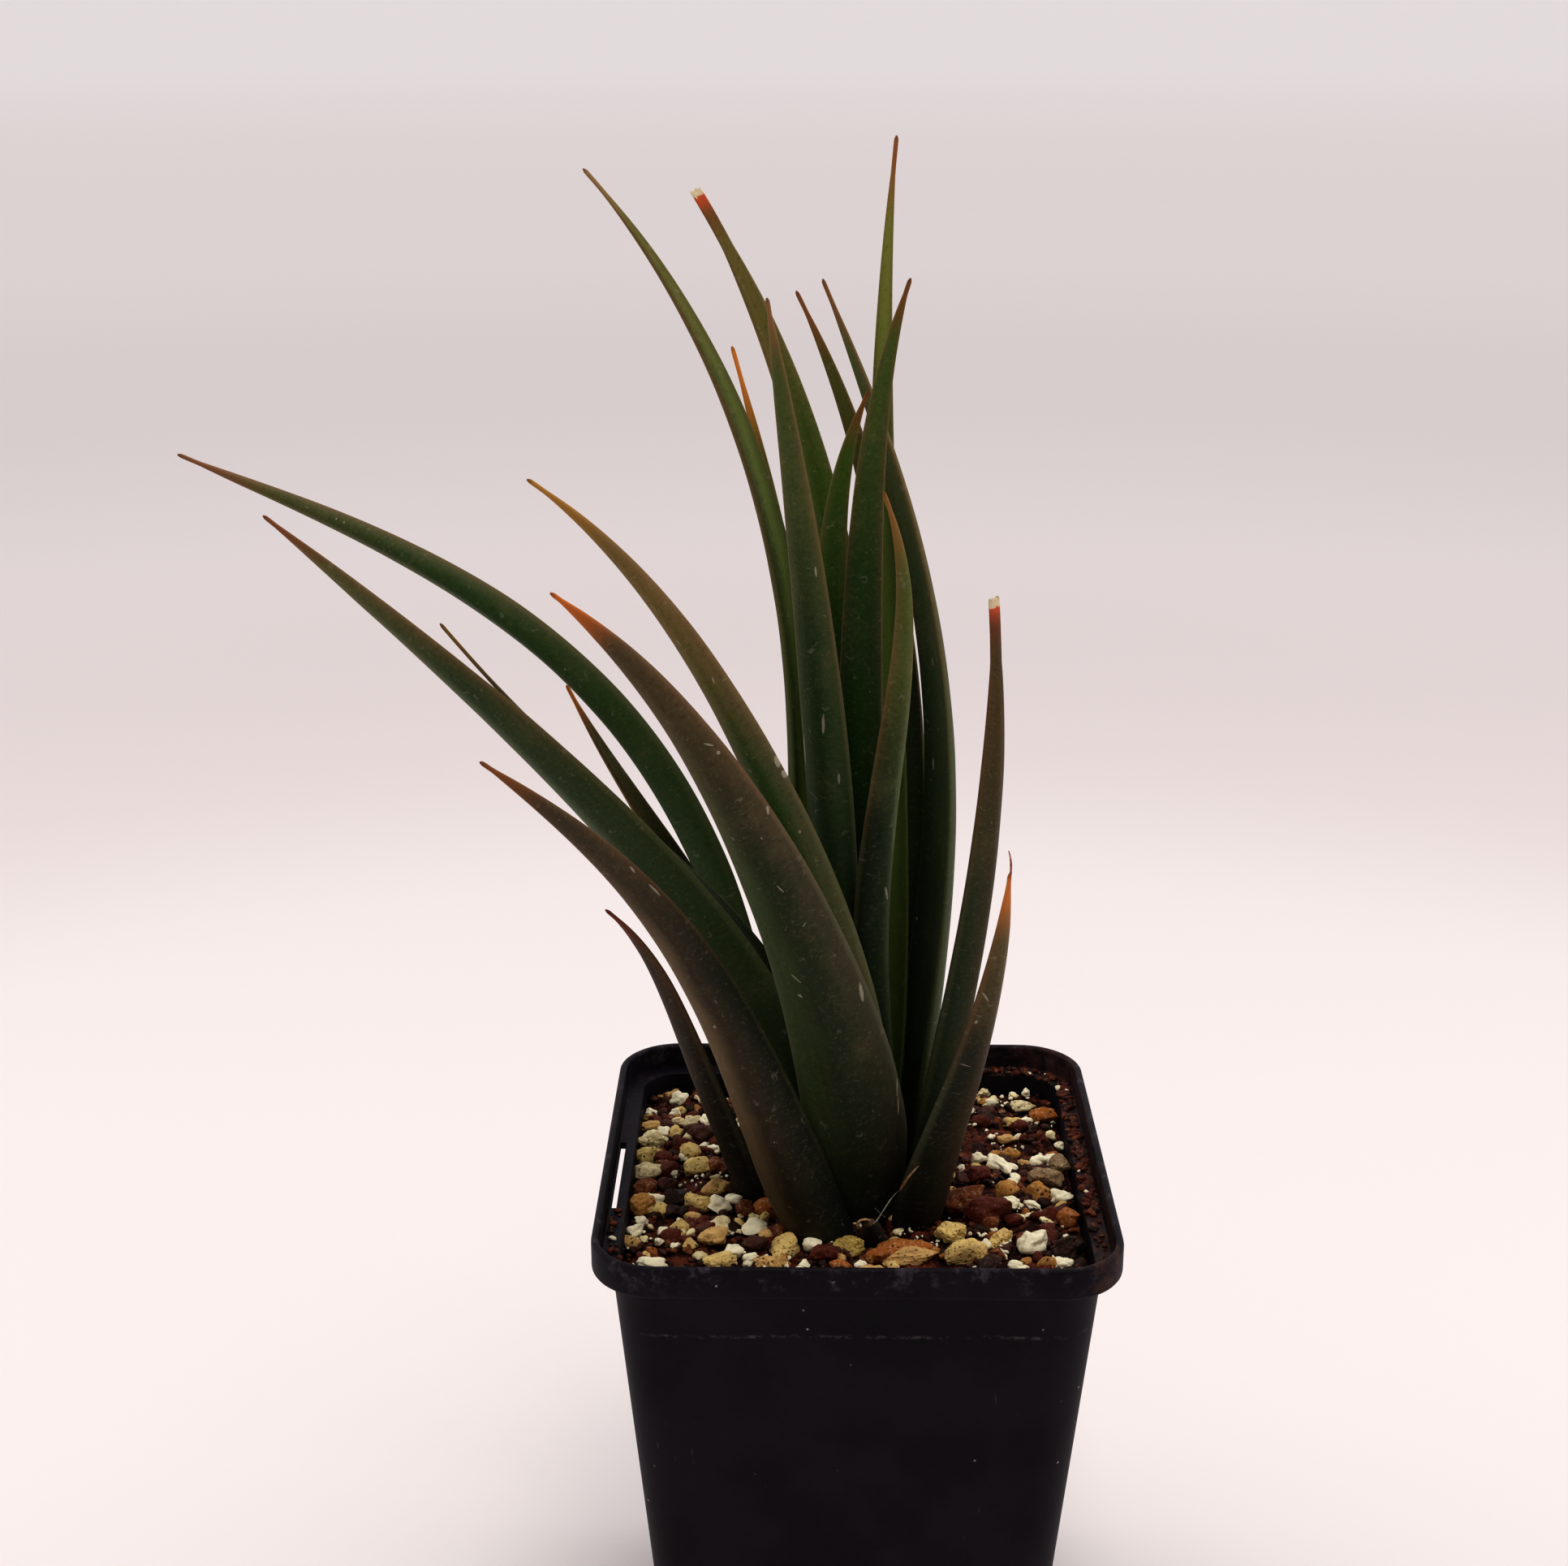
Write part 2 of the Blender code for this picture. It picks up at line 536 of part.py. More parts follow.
def make_soil():
    """The block of potting mix, with its stones and small grit fused into the surface."""
    soil = add_object("soil", make_soil_block(), principled("soil", SOIL_COLOUR, 0.95))
    rng = random.Random(GRIT_SEED)
    stones = []
    for x, y, length, breadth, turn in STONES:
        spot = place_stone(x, y, length)
        if spot is not None:
            detail = 2 if length >= LARGE_STONE else 1
            stones.append((*spot, length, breadth, math.radians(turn), detail))
    while len(stones) < len(STONES) + SMALL_GRIT:
        size = rng.uniform(*SMALL_GRIT_SIZES)
        x = rng.uniform(-1, 1) * POT_WIDTH / 2
        y = rng.uniform(-1, 1) * POT_WIDTH / 2
        if not inside_mix(x, y, size / 2 + WALL_MARGIN):
            continue
        nearest = min(math.hypot(x - stone[0], y - stone[1]) - stone[3] / 2 for stone in stones)
        if nearest > size / 2 * SMALL_GRIT_SPACING:
            breadth = size * rng.uniform(*GRIT_BREADTHS)
            stones.append((x, y, size, breadth, rng.uniform(0, math.pi), 1))
    grit = bpy.data.collections.new("grit")
    bpy.context.scene.collection.children.link(grit)
    for x, y, length, breadth, turn, detail in stones:
        work = bmesh.new()
        thickness = breadth * rng.uniform(*STONE_FLATNESS)
        middle = (x, y, soil_height(x, y) + thickness * STONE_STANDS_OUT)
        pebble(work, middle, (length, breadth, thickness), turn, rng, detail)
        mesh = bpy.data.meshes.new("grain")
        work.to_mesh(mesh)
        work.free()
        grit.objects.link(bpy.data.objects.new("grain", mesh))
    boolean(soil, "UNION", helpers=grit, solver="MANIFOLD")
    return soil


def make_crown():
    """The plant's short stem, which fills the hole in the mix and carries every leaf."""
    foot = HOLE_BOTTOM + CLEARANCE
    rings = [
        hole_ring(foot, CLEARANCE + CROWN_TAPER),
        hole_ring(foot + CROWN_TAPER_HEIGHT, CLEARANCE),
        hole_ring(CROWN_TOP - CROWN_ROUND_DROP, CLEARANCE),
        hole_ring(CROWN_TOP, CLEARANCE + CROWN_ROUND),
    ]
    return add_object("crown", loft("crown", rings), principled("crown", STEM_COLOUR, 0.7))


def spine(points, count):
    """Even steps along the smooth curve through the points, with its direction at each."""
    rows = np.array(points, float)
    along = np.concatenate(([0.0], np.cumsum(np.linalg.norm(np.diff(rows, axis=0), axis=1))))
    along /= along[-1]
    shares = np.linspace(0.0, 1.0, count)
    curves = [np.polyfit(along, rows[:, axis], len(rows) - 1) for axis in range(3)]
    places = np.stack([np.polyval(curve, shares) for curve in curves], axis=1)
    slopes = np.stack([np.polyval(np.polyder(curve), shares) for curve in curves], axis=1)
    slopes /= np.linalg.norm(slopes, axis=1)[:, None]
    return shares, places, slopes


def breadth_share(share, foot_width, fullness):
    """The leaf's width along its length: it widens from the foot, then narrows to the tip."""
    rise = 1.0
    if share < FOOT_SHARE:
        rise = foot_width + (1 - foot_width) * math.sin(share / FOOT_SHARE * math.pi / 2)
    beyond = max(0.0, (share - NARROWING_START) / (1 - NARROWING_START))
    return rise * (1 - beyond**fullness) ** TIP_FULLNESS


def leaf_section(width, thickness, channel, keel):
    """Half the points run along the hollow inner face, and half back along the keeled outer
    face, as distances across the blade and towards the rosette's heart."""
    margin = min(MARGIN_THICKNESS, thickness * MARGIN_SHARE)
    hollow = channel * width
    lift = thickness / 2 - hollow * CHANNEL_LIFT
    section = [(u * width / 2, hollow * u * u + lift) for u in SECTION_STEPS]
    for u in reversed(SECTION_STEPS):
        dome = (1 - keel) * (1 - u * u) ** BACK_ROUNDNESS + keel * (1 - abs(u))
        depth = margin + (thickness - margin) * dome
        section.append((u * width / 2, hollow * u * u + lift - depth))
    return section


def leaf_rings(leaf):
    turn = math.radians(leaf.foot_turn)
    foot = (
        AXIS.x + leaf.foot_reach * math.cos(turn),
        AXIS.y + leaf.foot_reach * math.sin(turn),
        LEAF_FOOT,
    )
    first_turn = leaf.foot_turn if leaf.heart_turn is None else leaf.heart_turn
    rings = []
    for share, place, slope in zip(*spine([foot, *leaf.points], LEAF_RINGS)):
        turned = min(1.0, share * TURNING_RATE)
        facing = math.radians(first_turn + (leaf.tip_turn - first_turn) * turned)
        along = Vector(slope)
        towards_heart = Vector((-math.cos(facing), -math.sin(facing), 0.0))
        inward = (towards_heart - along * towards_heart.dot(along)).normalized()
        across = along.cross(inward)
        if not rings:
            inward = Vector((inward.x, inward.y, 0.0)).normalized()
            across = Vector((across.x, across.y, 0.0)).normalized()
        part = breadth_share(share, leaf.foot_width, leaf.fullness)
        width = max(leaf.width * part, leaf.tip_width)
        thickness = max(leaf.thickness * part**THINNING, LEAST_THICKNESS)
        channel = CHANNEL_DEPTH * (1 - share) + LEAST_CHANNEL
        section = leaf_section(width, thickness, channel, KEEL_AT_FOOT + KEEL_GAIN * share)
        rings.append([Vector(place) + across * u + inward * v for u, v in section])
    return rings


def leaf_colour(leaf):
    """Leaves in the heart are green, and the old outer ones are bronze from the sun."""
    age = min(1.0, leaf.foot_reach / BRONZE_REACH)
    return tuple(Vector(GREEN).lerp(Vector(BRONZE), age * age))


def make_leaves():
    for name, leaf in LEAVES.items():
        mesh = loft(name, leaf_rings(leaf))
        smooth(mesh, 50)
        add_object(name, mesh, principled(name, leaf_colour(leaf), 0.45))


clear_scene()
make_pot()
make_crown()
make_soil()
make_leaves()
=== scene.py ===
# %% [markdown]
# # A potted haworthia
#
# This lesson dresses a plain CAD model of a small succulent in its nursery pot. The CAD gives
# every piece its place and size: a square plastic pot, a block of gritty mix, a short stem,
# twenty leaves and the stub of an old one. Here each of them gets the shape and finish that
# the eye expects, such as rounded leaf margins, scars, dry tips, porous stones and dusty
# plastic.

# %% Load the frame
import math
import random
from dataclasses import dataclass

import bmesh
import bpy
import numpy as np
from mathutils import Matrix, Vector, noise


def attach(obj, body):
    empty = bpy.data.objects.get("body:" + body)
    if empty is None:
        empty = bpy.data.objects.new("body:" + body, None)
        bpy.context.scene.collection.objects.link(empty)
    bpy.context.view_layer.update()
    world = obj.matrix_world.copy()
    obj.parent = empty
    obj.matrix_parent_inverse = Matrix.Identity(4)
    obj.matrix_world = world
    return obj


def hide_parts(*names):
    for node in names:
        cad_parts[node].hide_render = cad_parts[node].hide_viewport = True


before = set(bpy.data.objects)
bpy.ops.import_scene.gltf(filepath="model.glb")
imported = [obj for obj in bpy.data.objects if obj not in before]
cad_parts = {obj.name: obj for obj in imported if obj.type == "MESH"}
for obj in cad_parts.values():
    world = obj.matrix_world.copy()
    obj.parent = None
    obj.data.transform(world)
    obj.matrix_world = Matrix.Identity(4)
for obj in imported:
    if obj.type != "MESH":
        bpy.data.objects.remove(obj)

MM = 0.001
bpy.context.scene.view_settings.view_transform = "Standard"
bpy.context.scene.view_settings.look = "High Contrast"
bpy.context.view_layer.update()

# %% [markdown]
# ## The camera
#
# The photograph was taken from in front and above. Its place was worked out from the pot's
# square rim, whose four sides have known lengths. A camera could be aimed with a constraint,
# but three plain turns say more: it tips down from level, turns a little to the left, and
# rolls by a hair.

# %% Set up the camera
IMAGE_WIDTH = 1932
FOCAL_LENGTH_IN_PIXELS = 2992
CAMERA_PLACE = Vector((-7.0, -310.4, 236.6))
CAMERA_DOWN = 18.29
CAMERA_LEFT = 0.536
CAMERA_ROLL = 0.044

camera_data = bpy.data.cameras.new("camera")
camera_data.sensor_fit = "HORIZONTAL"
camera_data.sensor_width = 36.0
camera_data.lens = FOCAL_LENGTH_IN_PIXELS / IMAGE_WIDTH * camera_data.sensor_width
camera = bpy.data.objects.new("camera", camera_data)
turn_left = Matrix.Rotation(math.radians(CAMERA_LEFT), 4, "Z")
tip_down = Matrix.Rotation(math.radians(90.0 - CAMERA_DOWN), 4, "X")
roll = Matrix.Rotation(math.radians(CAMERA_ROLL), 4, "Z")
camera.matrix_world = Matrix.Translation(CAMERA_PLACE * MM) @ turn_left @ tip_down @ roll
bpy.context.scene.collection.objects.link(camera)
bpy.context.scene.camera = camera
print("the lens in mm:", round(camera_data.lens, 2))

# %% [markdown]
# ## Signals and finishes
#
# A material in Blender is a network of nodes. Wiring it by hand in code takes many lines, so
# two small classes do it here. A Signal is one output socket that can be used in a sum, where
# each operator adds a Math node. A Finish is one material: it adds any other node with its
# settings and inputs, and has short names for the few patterns that all the pieces share.

# %% The signal class
class Signal:
    """A number or a colour on its way through the nodes of a finish."""

    def __init__(self, finish, socket):
        self.finish = finish
        self.socket = socket

    def maths(self, operation, other=0.0):
        return self.finish.node("ShaderNodeMath", {"operation": operation}, {0: self, 1: other})

    def __add__(self, other):
        return self.maths("ADD", other)

    def __sub__(self, other):
        return self.maths("SUBTRACT", other)

    def __rsub__(self, other):
        return self * -1.0 + other

    def __mul__(self, other):
        return self.maths("MULTIPLY", other)

    def __truediv__(self, other):
        return self.maths("DIVIDE", other)

    def __abs__(self):
        return self.maths("ABSOLUTE")

    __radd__ = __add__
    __rmul__ = __mul__

    def rise(self, low, high):
        """0 before low and 1 after high, with a soft step between. It falls if low is above high."""
        settings = {"interpolation_type": "SMOOTHSTEP"}
        return self.finish.node("ShaderNodeMapRange", settings, {0: self, 1: low, 2: high})


print("a signal can be added, taken away, multiplied, divided and made to rise")

# %% The finish class
def paint(red, green, blue):
    """A screen colour from 0 to 255, as the linear light that nodes use."""
    def linear(value):
        value /= 255.0
        return value / 12.92 if value <= 0.04045 else ((value + 0.055) / 1.055) ** 2.4
    return (linear(red), linear(green), linear(blue), 1.0)


class Finish:
    """One material, built around a Principled shader whose fixed values are set by name."""

    def __init__(self, name, **fixed):
        self.material = bpy.data.materials.new(name)
        self.material.use_nodes = True
        self.tree = self.material.node_tree
        self.shader = self.tree.nodes["Principled BSDF"]
        for socket, value in fixed.items():
            self.shader.inputs[socket.replace("_", " ")].default_value = value

    def feed(self, socket, value):
        if isinstance(value, Signal):
            self.tree.links.new(value.socket, socket)
        else:
            socket.default_value = value

    def node(self, kind, settings, inputs, output=0):
        """Adds a node of that kind, sets it up, fills its inputs and returns one output."""
        made = self.tree.nodes.new(kind)
        for name, value in settings.items():
            setattr(made, name, value)
        for name, value in inputs.items():
            self.feed(made.inputs[name], value)
        return Signal(self, made.outputs[output])

    def place(self):
        """Where a point is on the object, in millimetres."""
        point = self.node("ShaderNodeTexCoord", {}, {}, "Object")
        settings = {"operation": "SCALE"}
        return self.node("ShaderNodeVectorMath", settings, {0: point, "Scale": 1.0 / MM})

    def part(self, vector, axis):
        """The share of a vector along X, Y or Z."""
        return self.node("ShaderNodeSeparateXYZ", {}, {0: vector}, axis)

    def attribute(self, name, output="Fac"):
        return self.node("ShaderNodeAttribute", {"attribute_name": name}, {}, output)

    def vector(self, x, y, z=0.0):
        return self.node("ShaderNodeCombineXYZ", {}, {0: x, 1: y, 2: z})

    def clouds(self, place, size, detail=3.0, roughness=0.55):
        """Soft noise from 0 to 1 around 0.5, whose largest blotches have that size."""
        inputs = {"Vector": place, "Scale": 1.0 / size, "Detail": detail, "Roughness": roughness}
        return self.node("ShaderNodeTexNoise", {}, inputs, "Fac")

    def cells(self, place, size, output="Distance"):
        """Scattered cells of that size: the distance from each one's middle, or its colour."""
        return self.node("ShaderNodeTexVoronoi", {}, {"Vector": place, "Scale": 1.0 / size}, output)

    def mix(self, amount, first, second):
        settings = {"data_type": "RGBA"}
        return self.node("ShaderNodeMix", settings, {0: amount, 6: first, 7: second}, 2)

    def layers(self, colour, coats):
        """Lays coats over a colour, each with its mask, its strength and its own paint."""
        for mask, strength, coat in coats:
            colour = self.mix(mask * strength, colour, coat)
        return colour

    def bump(self, height, distance, strength=1.0):
        inputs = {"Height": height, "Distance": distance * MM, "Strength": strength}
        return self.node("ShaderNodeBump", {}, inputs)

    def wear(self, colour, roughness, normal=None):
        """Feeds the shader with what changes over the surface."""
        self.feed(self.shader.inputs["Base Color"], colour)
        self.feed(self.shader.inputs["Roughness"], roughness)
        if normal is not None:
            self.feed(self.shader.inputs["Normal"], normal)
        return self.material


print("a screen's mid grey is", round(paint(128, 128, 128)[0], 3), "in linear light")

# %% [markdown]
# ## The table
#
# The plant stands on seamless pale paper, which turns from white in front to a soft pinkish
# grey further back. A bent sheet would do in one view, but it would hide the plant from
# behind, so the floor is flat and runs on far past the pot. The lamps light it unevenly, so
# its own tone changes in four soft steps with the distance from the pot to make up for that.

# %% Make the table
FLOOR_REACH = 60000.0
NEAREST_TONE = paint(239, 233, 232)
TONES = (
    (300.0, 450.0, paint(231, 223, 223)),
    (500.0, 800.0, paint(239, 232, 232)),
    (1000.0, 2000.0, paint(249, 242, 242)),
    (2200.0, 7000.0, paint(255, 251, 251)),
)

floor_finish = Finish("pale_paper", Specular_IOR_Level=0.1)
floor_place = floor_finish.place()
floor_length = {"operation": "LENGTH"}
floor_distance = floor_finish.node("ShaderNodeVectorMath", floor_length, {0: floor_place}, "Value")
floor_tone = NEAREST_TONE
for near, far, tone in TONES:
    floor_tone = floor_finish.mix(floor_distance.rise(near, far), floor_tone, tone)
floor_finish.wear(floor_tone, floor_finish.clouds(floor_place, 2.0) * 0.1 + 0.8)
floor_mesh = bpy.data.meshes.new("floor")
corner_signs = ((-1, -1), (1, -1), (1, 1), (-1, 1))
floor_corners = [Vector((x, y, 0)) * FLOOR_REACH * MM for x, y in corner_signs]
floor_mesh.from_pydata(floor_corners, [], [(0, 1, 2, 3)])
floor_mesh.materials.append(floor_finish.material)
floor = bpy.data.objects.new("floor", floor_mesh)
bpy.context.scene.collection.objects.link(floor)
print("the floor is", 2 * FLOOR_REACH * MM, "m wide")

# %% [markdown]
# ## The light
#
# The leaves are lit from both sides and from above, and their fronts stay dark, which is how a
# small light tent looks. Two upright panels stand left and right and a third hangs over the
# plant. A smaller one high in front picks out the tops of the stones, and a soft sky fills
# the rest, brighter behind the plant than on the viewer's side.

# %% Place the lights
def add_panel(name, place, aim, width, power, colour):
    data = bpy.data.lights.new(name, "AREA")
    data.shape = "DISK"
    data.size = width * MM
    data.energy = power
    data.color = colour[:3]
    panel = bpy.data.objects.new(name, data)
    panel.location = Vector(place) * MM
    panel.rotation_euler = (Vector(aim) - Vector(place)).to_track_quat("-Z", "Y").to_euler()
    bpy.context.scene.collection.objects.link(panel)


PLANT_MIDDLE = (0.0, 0.0, 120.0)
FRONT_SKY = 0.22
BACK_SKY = 0.80
add_panel("left_panel", (-620, 60, 420), PLANT_MIDDLE, 480, 0.45, paint(255, 252, 250))
add_panel("right_panel", (620, 100, 420), PLANT_MIDDLE, 480, 0.42, paint(255, 250, 250))
add_panel("top_panel", (0, 160, 900), PLANT_MIDDLE, 700, 0.6, paint(255, 250, 250))
add_panel("front_panel", (70, -210, 740), (0.0, 0.0, 75.0), 240, 0.85, paint(255, 250, 244))
world = bpy.data.worlds.new("tent")
world.use_nodes = True
sky = world.node_tree.nodes
links = world.node_tree.links
direction = sky.new("ShaderNodeTexCoord")
parts = sky.new("ShaderNodeSeparateXYZ")
depth = sky.new("ShaderNodeMapRange")
sky_range = {"From Min": -1.0, "From Max": 0.6, "To Min": FRONT_SKY, "To Max": BACK_SKY}
for socket, value in sky_range.items():
    depth.inputs[socket].default_value = value
links.new(direction.outputs["Generated"], parts.inputs[0])
links.new(parts.outputs["Y"], depth.inputs[0])
links.new(depth.outputs[0], sky["Background"].inputs["Strength"])
sky["Background"].inputs["Color"].default_value = paint(250, 247, 247)
bpy.context.scene.world = world

# %% [markdown]
# ## Making meshes from arrays
#
# The pieces here have many thousands of points, so they are worked out as number arrays and
# turned into meshes at the end. Numbers that belong to a point, such as how far along a leaf
# it lies, are stored in the mesh as attributes, and the finishes read them by name. That is
# how a scar or a pale margin can follow a leaf's own shape, which no flat texture could do.

# %% Mesh helpers
def make_piece(name, points, faces, material, attributes=None, sharp_degrees=50):
    """A smooth mesh piece in millimetres, which rides on the plant."""
    mesh = bpy.data.meshes.new(name)
    places = (np.asarray(points, float) * MM).tolist()
    mesh.from_pydata(places, [], [list(map(int, face)) for face in faces])
    for key, values in (attributes or {}).items():
        values = np.asarray(values, np.float32)
        if values.ndim == 1:
            mesh.attributes.new(key, "FLOAT", "POINT").data.foreach_set("value", values)
        else:
            mesh.attributes.new(key, "FLOAT_COLOR", "POINT").data.foreach_set("color", values.ravel())
    work = bmesh.new()
    work.from_mesh(mesh)
    bmesh.ops.recalc_face_normals(work, faces=work.faces)
    work.to_mesh(mesh)
    work.free()
    mesh.shade_smooth()
    mesh.set_sharp_from_angle(angle=math.radians(sharp_degrees))
    mesh.materials.append(material)
    piece = bpy.data.objects.new(name, mesh)
    bpy.context.scene.collection.objects.link(piece)
    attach(piece, "root")
    return piece


def tube_faces(rings, around):
    """Four-sided faces that join rings of points into a tube, with a flat cap on each end."""
    faces = []
    for ring in range(rings - 1):
        for i in range(around):
            j = (i + 1) % around
            here, next_ring = ring * around, (ring + 1) * around
            faces.append((here + i, here + j, next_ring + j, next_ring + i))
    for start in (0, (rings - 1) * around):
        for i in range(around // 2 - 1):
            faces.append((start + i, start + i + 1, start + around - 2 - i, start + around - 1 - i))
    return faces


def smoothstep(low, high, value):
    share = np.clip((value - low) / (high - low), 0.0, 1.0)
    return share * share * (3.0 - 2.0 * share)


def rough_noise(points, size, seed):
    """Noise from about -1 to 1 at each point, with lumps of that size."""
    shift = Vector((seed * 7.31, seed * 3.17, seed * 5.77))
    scale = 1.0 / size
    return np.array([noise.noise(Vector(point) * scale + shift) for point in points])


print("mesh helpers are ready")

# %% [markdown]
# ## The pot
#
# A nursery pot is moulded from thin black plastic. Its walls lean out to a narrow ledge, where
# an upright collar steps out, and a slot through the ledge takes a carrier on two sides. The
# CAD pot has the right form with few faces, and could be bevelled. Lofting it anew from the
# same sizes gives full control: finer corners, a rounder rim and a body that bows in a little,
# as thin walls do.

# %% The pot's sizes
POT_WIDTH = 70.0
POT_HEIGHT = 80.0
POT_BASE_WIDTH = 51.0
POT_CORNER = 9.0
POT_BASE_CORNER = 6.0
COLLAR_HEIGHT = 4.6
COLLAR_STEP = 2.7
COLLAR_WALL = 1.1
BODY_WALL = 1.0
FLOOR_THICKNESS = 1.6
BODY_BOW = 0.25
STEP_HEIGHT = POT_HEIGHT - COLLAR_HEIGHT
LEDGE_HEIGHT = STEP_HEIGHT + BODY_WALL
SLOT_SIZE = (0.8, 19.8, 4.0)
SLOT_REACH = 33.2
SLOT_MIDDLE_Y = -2.2
DRAIN_RADIUS = 3.5
DRAIN_REACH = 15.0
DRAIN_CUT_DEPTH = 6.0
CORNER_STEPS = 14
SIDE_STEPS = 10


def body_half_width(height):
    top = POT_WIDTH / 2 - COLLAR_STEP
    return POT_BASE_WIDTH / 2 + (top - POT_BASE_WIDTH / 2) * height / STEP_HEIGHT


def body_corner(height):
    top = POT_CORNER - COLLAR_STEP
    return POT_BASE_CORNER + (top - POT_BASE_CORNER) * height / STEP_HEIGHT


def rounded_square(half_width, corner, height, bow=0.0):
    """A level square ring with round corners, whose sides bow in by the given amount."""
    ring = []
    straight = half_width - corner
    for quarter in range(4):
        turn = quarter * math.pi / 2
        arc = [(straight + corner * math.cos(a), straight + corner * math.sin(a))
               for a in np.linspace(0.0, math.pi / 2, CORNER_STEPS + 1)]
        side = [(straight * (1 - 2 * s), half_width - bow * math.sin(s * math.pi) ** 2)
                for s in np.linspace(0.0, 1.0, SIDE_STEPS + 1)[1:-1]]
        for x, y in arc + side:
            ring.append((x * math.cos(turn) - y * math.sin(turn),
                         x * math.sin(turn) + y * math.cos(turn), height))
    return ring


def body_ring(height, inset=0.0):
    bow = BODY_BOW * math.sin(height / STEP_HEIGHT * math.pi)
    corner = body_corner(height) - inset * 0.6
    return rounded_square(body_half_width(height) - inset, corner, height, bow)


def collar_ring(height, inset=0.0):
    return rounded_square(POT_WIDTH / 2 - inset, POT_CORNER - inset, height)


print("the collar stands", COLLAR_HEIGHT, "mm tall and", COLLAR_STEP, "mm proud of the body")

# %% [markdown]
# The pot is one tube of level rings. They climb the outside of the body, step out under the
# collar, turn over the rim in a half circle, and go down inside, over the ledge and along the
# inner wall to the floor. Rings lie close together wherever the wall turns.

# %% Loft the pot
def rim_arc(middle_height, middle_inset, radius, start, end, steps):
    """Collar rings along an arc, as seen on a cut through the wall. 0 points out, 90 up."""
    rings = []
    for angle in np.radians(np.linspace(start, end, steps)):
        inset = middle_inset - radius * math.cos(angle)
        rings.append(collar_ring(middle_height + radius * math.sin(angle), inset))
    return rings


half_wall = COLLAR_WALL / 2
pot_rings = [body_ring(0.0, 0.8), body_ring(0.12, 0.3), body_ring(0.5, 0.05)]
pot_rings += [body_ring(height) for height in np.linspace(1.2, STEP_HEIGHT - 0.5, 14)]
pot_rings += [body_ring(STEP_HEIGHT - 0.15, -0.12), body_ring(STEP_HEIGHT, -0.45)]
pot_rings += rim_arc(STEP_HEIGHT + 0.7, 0.7, 0.7, -90, 0, 5)
pot_rings += rim_arc(POT_HEIGHT - half_wall, half_wall, half_wall, 0, 180, 9)
pot_rings += [
    collar_ring(LEDGE_HEIGHT + 0.5, COLLAR_WALL),
    collar_ring(LEDGE_HEIGHT + 0.12, COLLAR_WALL + 0.15),
    collar_ring(LEDGE_HEIGHT, COLLAR_WALL + 0.5),
    body_ring(LEDGE_HEIGHT, BODY_WALL - 0.4),
    body_ring(LEDGE_HEIGHT - 0.15, BODY_WALL - 0.08),
    body_ring(LEDGE_HEIGHT - 0.6, BODY_WALL),
]
pot_rings += [body_ring(height, BODY_WALL) for height in np.linspace(60.0, FLOOR_THICKNESS + 0.5, 5)]
pot_rings.append(body_ring(FLOOR_THICKNESS, BODY_WALL + 0.5))
pot_points = np.array(pot_rings).reshape(-1, 3)
pot_around = len(pot_rings[0])
pot_faces = tube_faces(len(pot_rings), pot_around)[: (len(pot_rings) - 1) * pot_around]
pot_faces += [tuple(range(pot_around)), tuple(range(len(pot_points) - pot_around, len(pot_points)))]
print("the pot has", len(pot_rings), "rings of", pot_around, "points")

# %% [markdown]
# The plastic is matte and almost black with a warm, faintly purple cast. Use has left it
# chalky: hard water dried in a thin line just under the collar, the rim is scuffed and dusty
# and carries a painted highlight along it, brown peat dust lies on the ledge, most of it on
# the right, and fine pale scratches run down the walls. An image could hold all that, but it
# would blur close up. Here each mark is a mask from 0 to 1 that lays a thin coat over the
# colour.

# %% Finish the pot
LIME_LINE_HEIGHT = 68.2
RIM_DUST_AND_HIGHLIGHT_DEPTH = 6.0
SCRATCH_STRETCH = (1.0, 1.0, 0.12)
COLLAR_INSIDE = POT_WIDTH / 2 - COLLAR_WALL


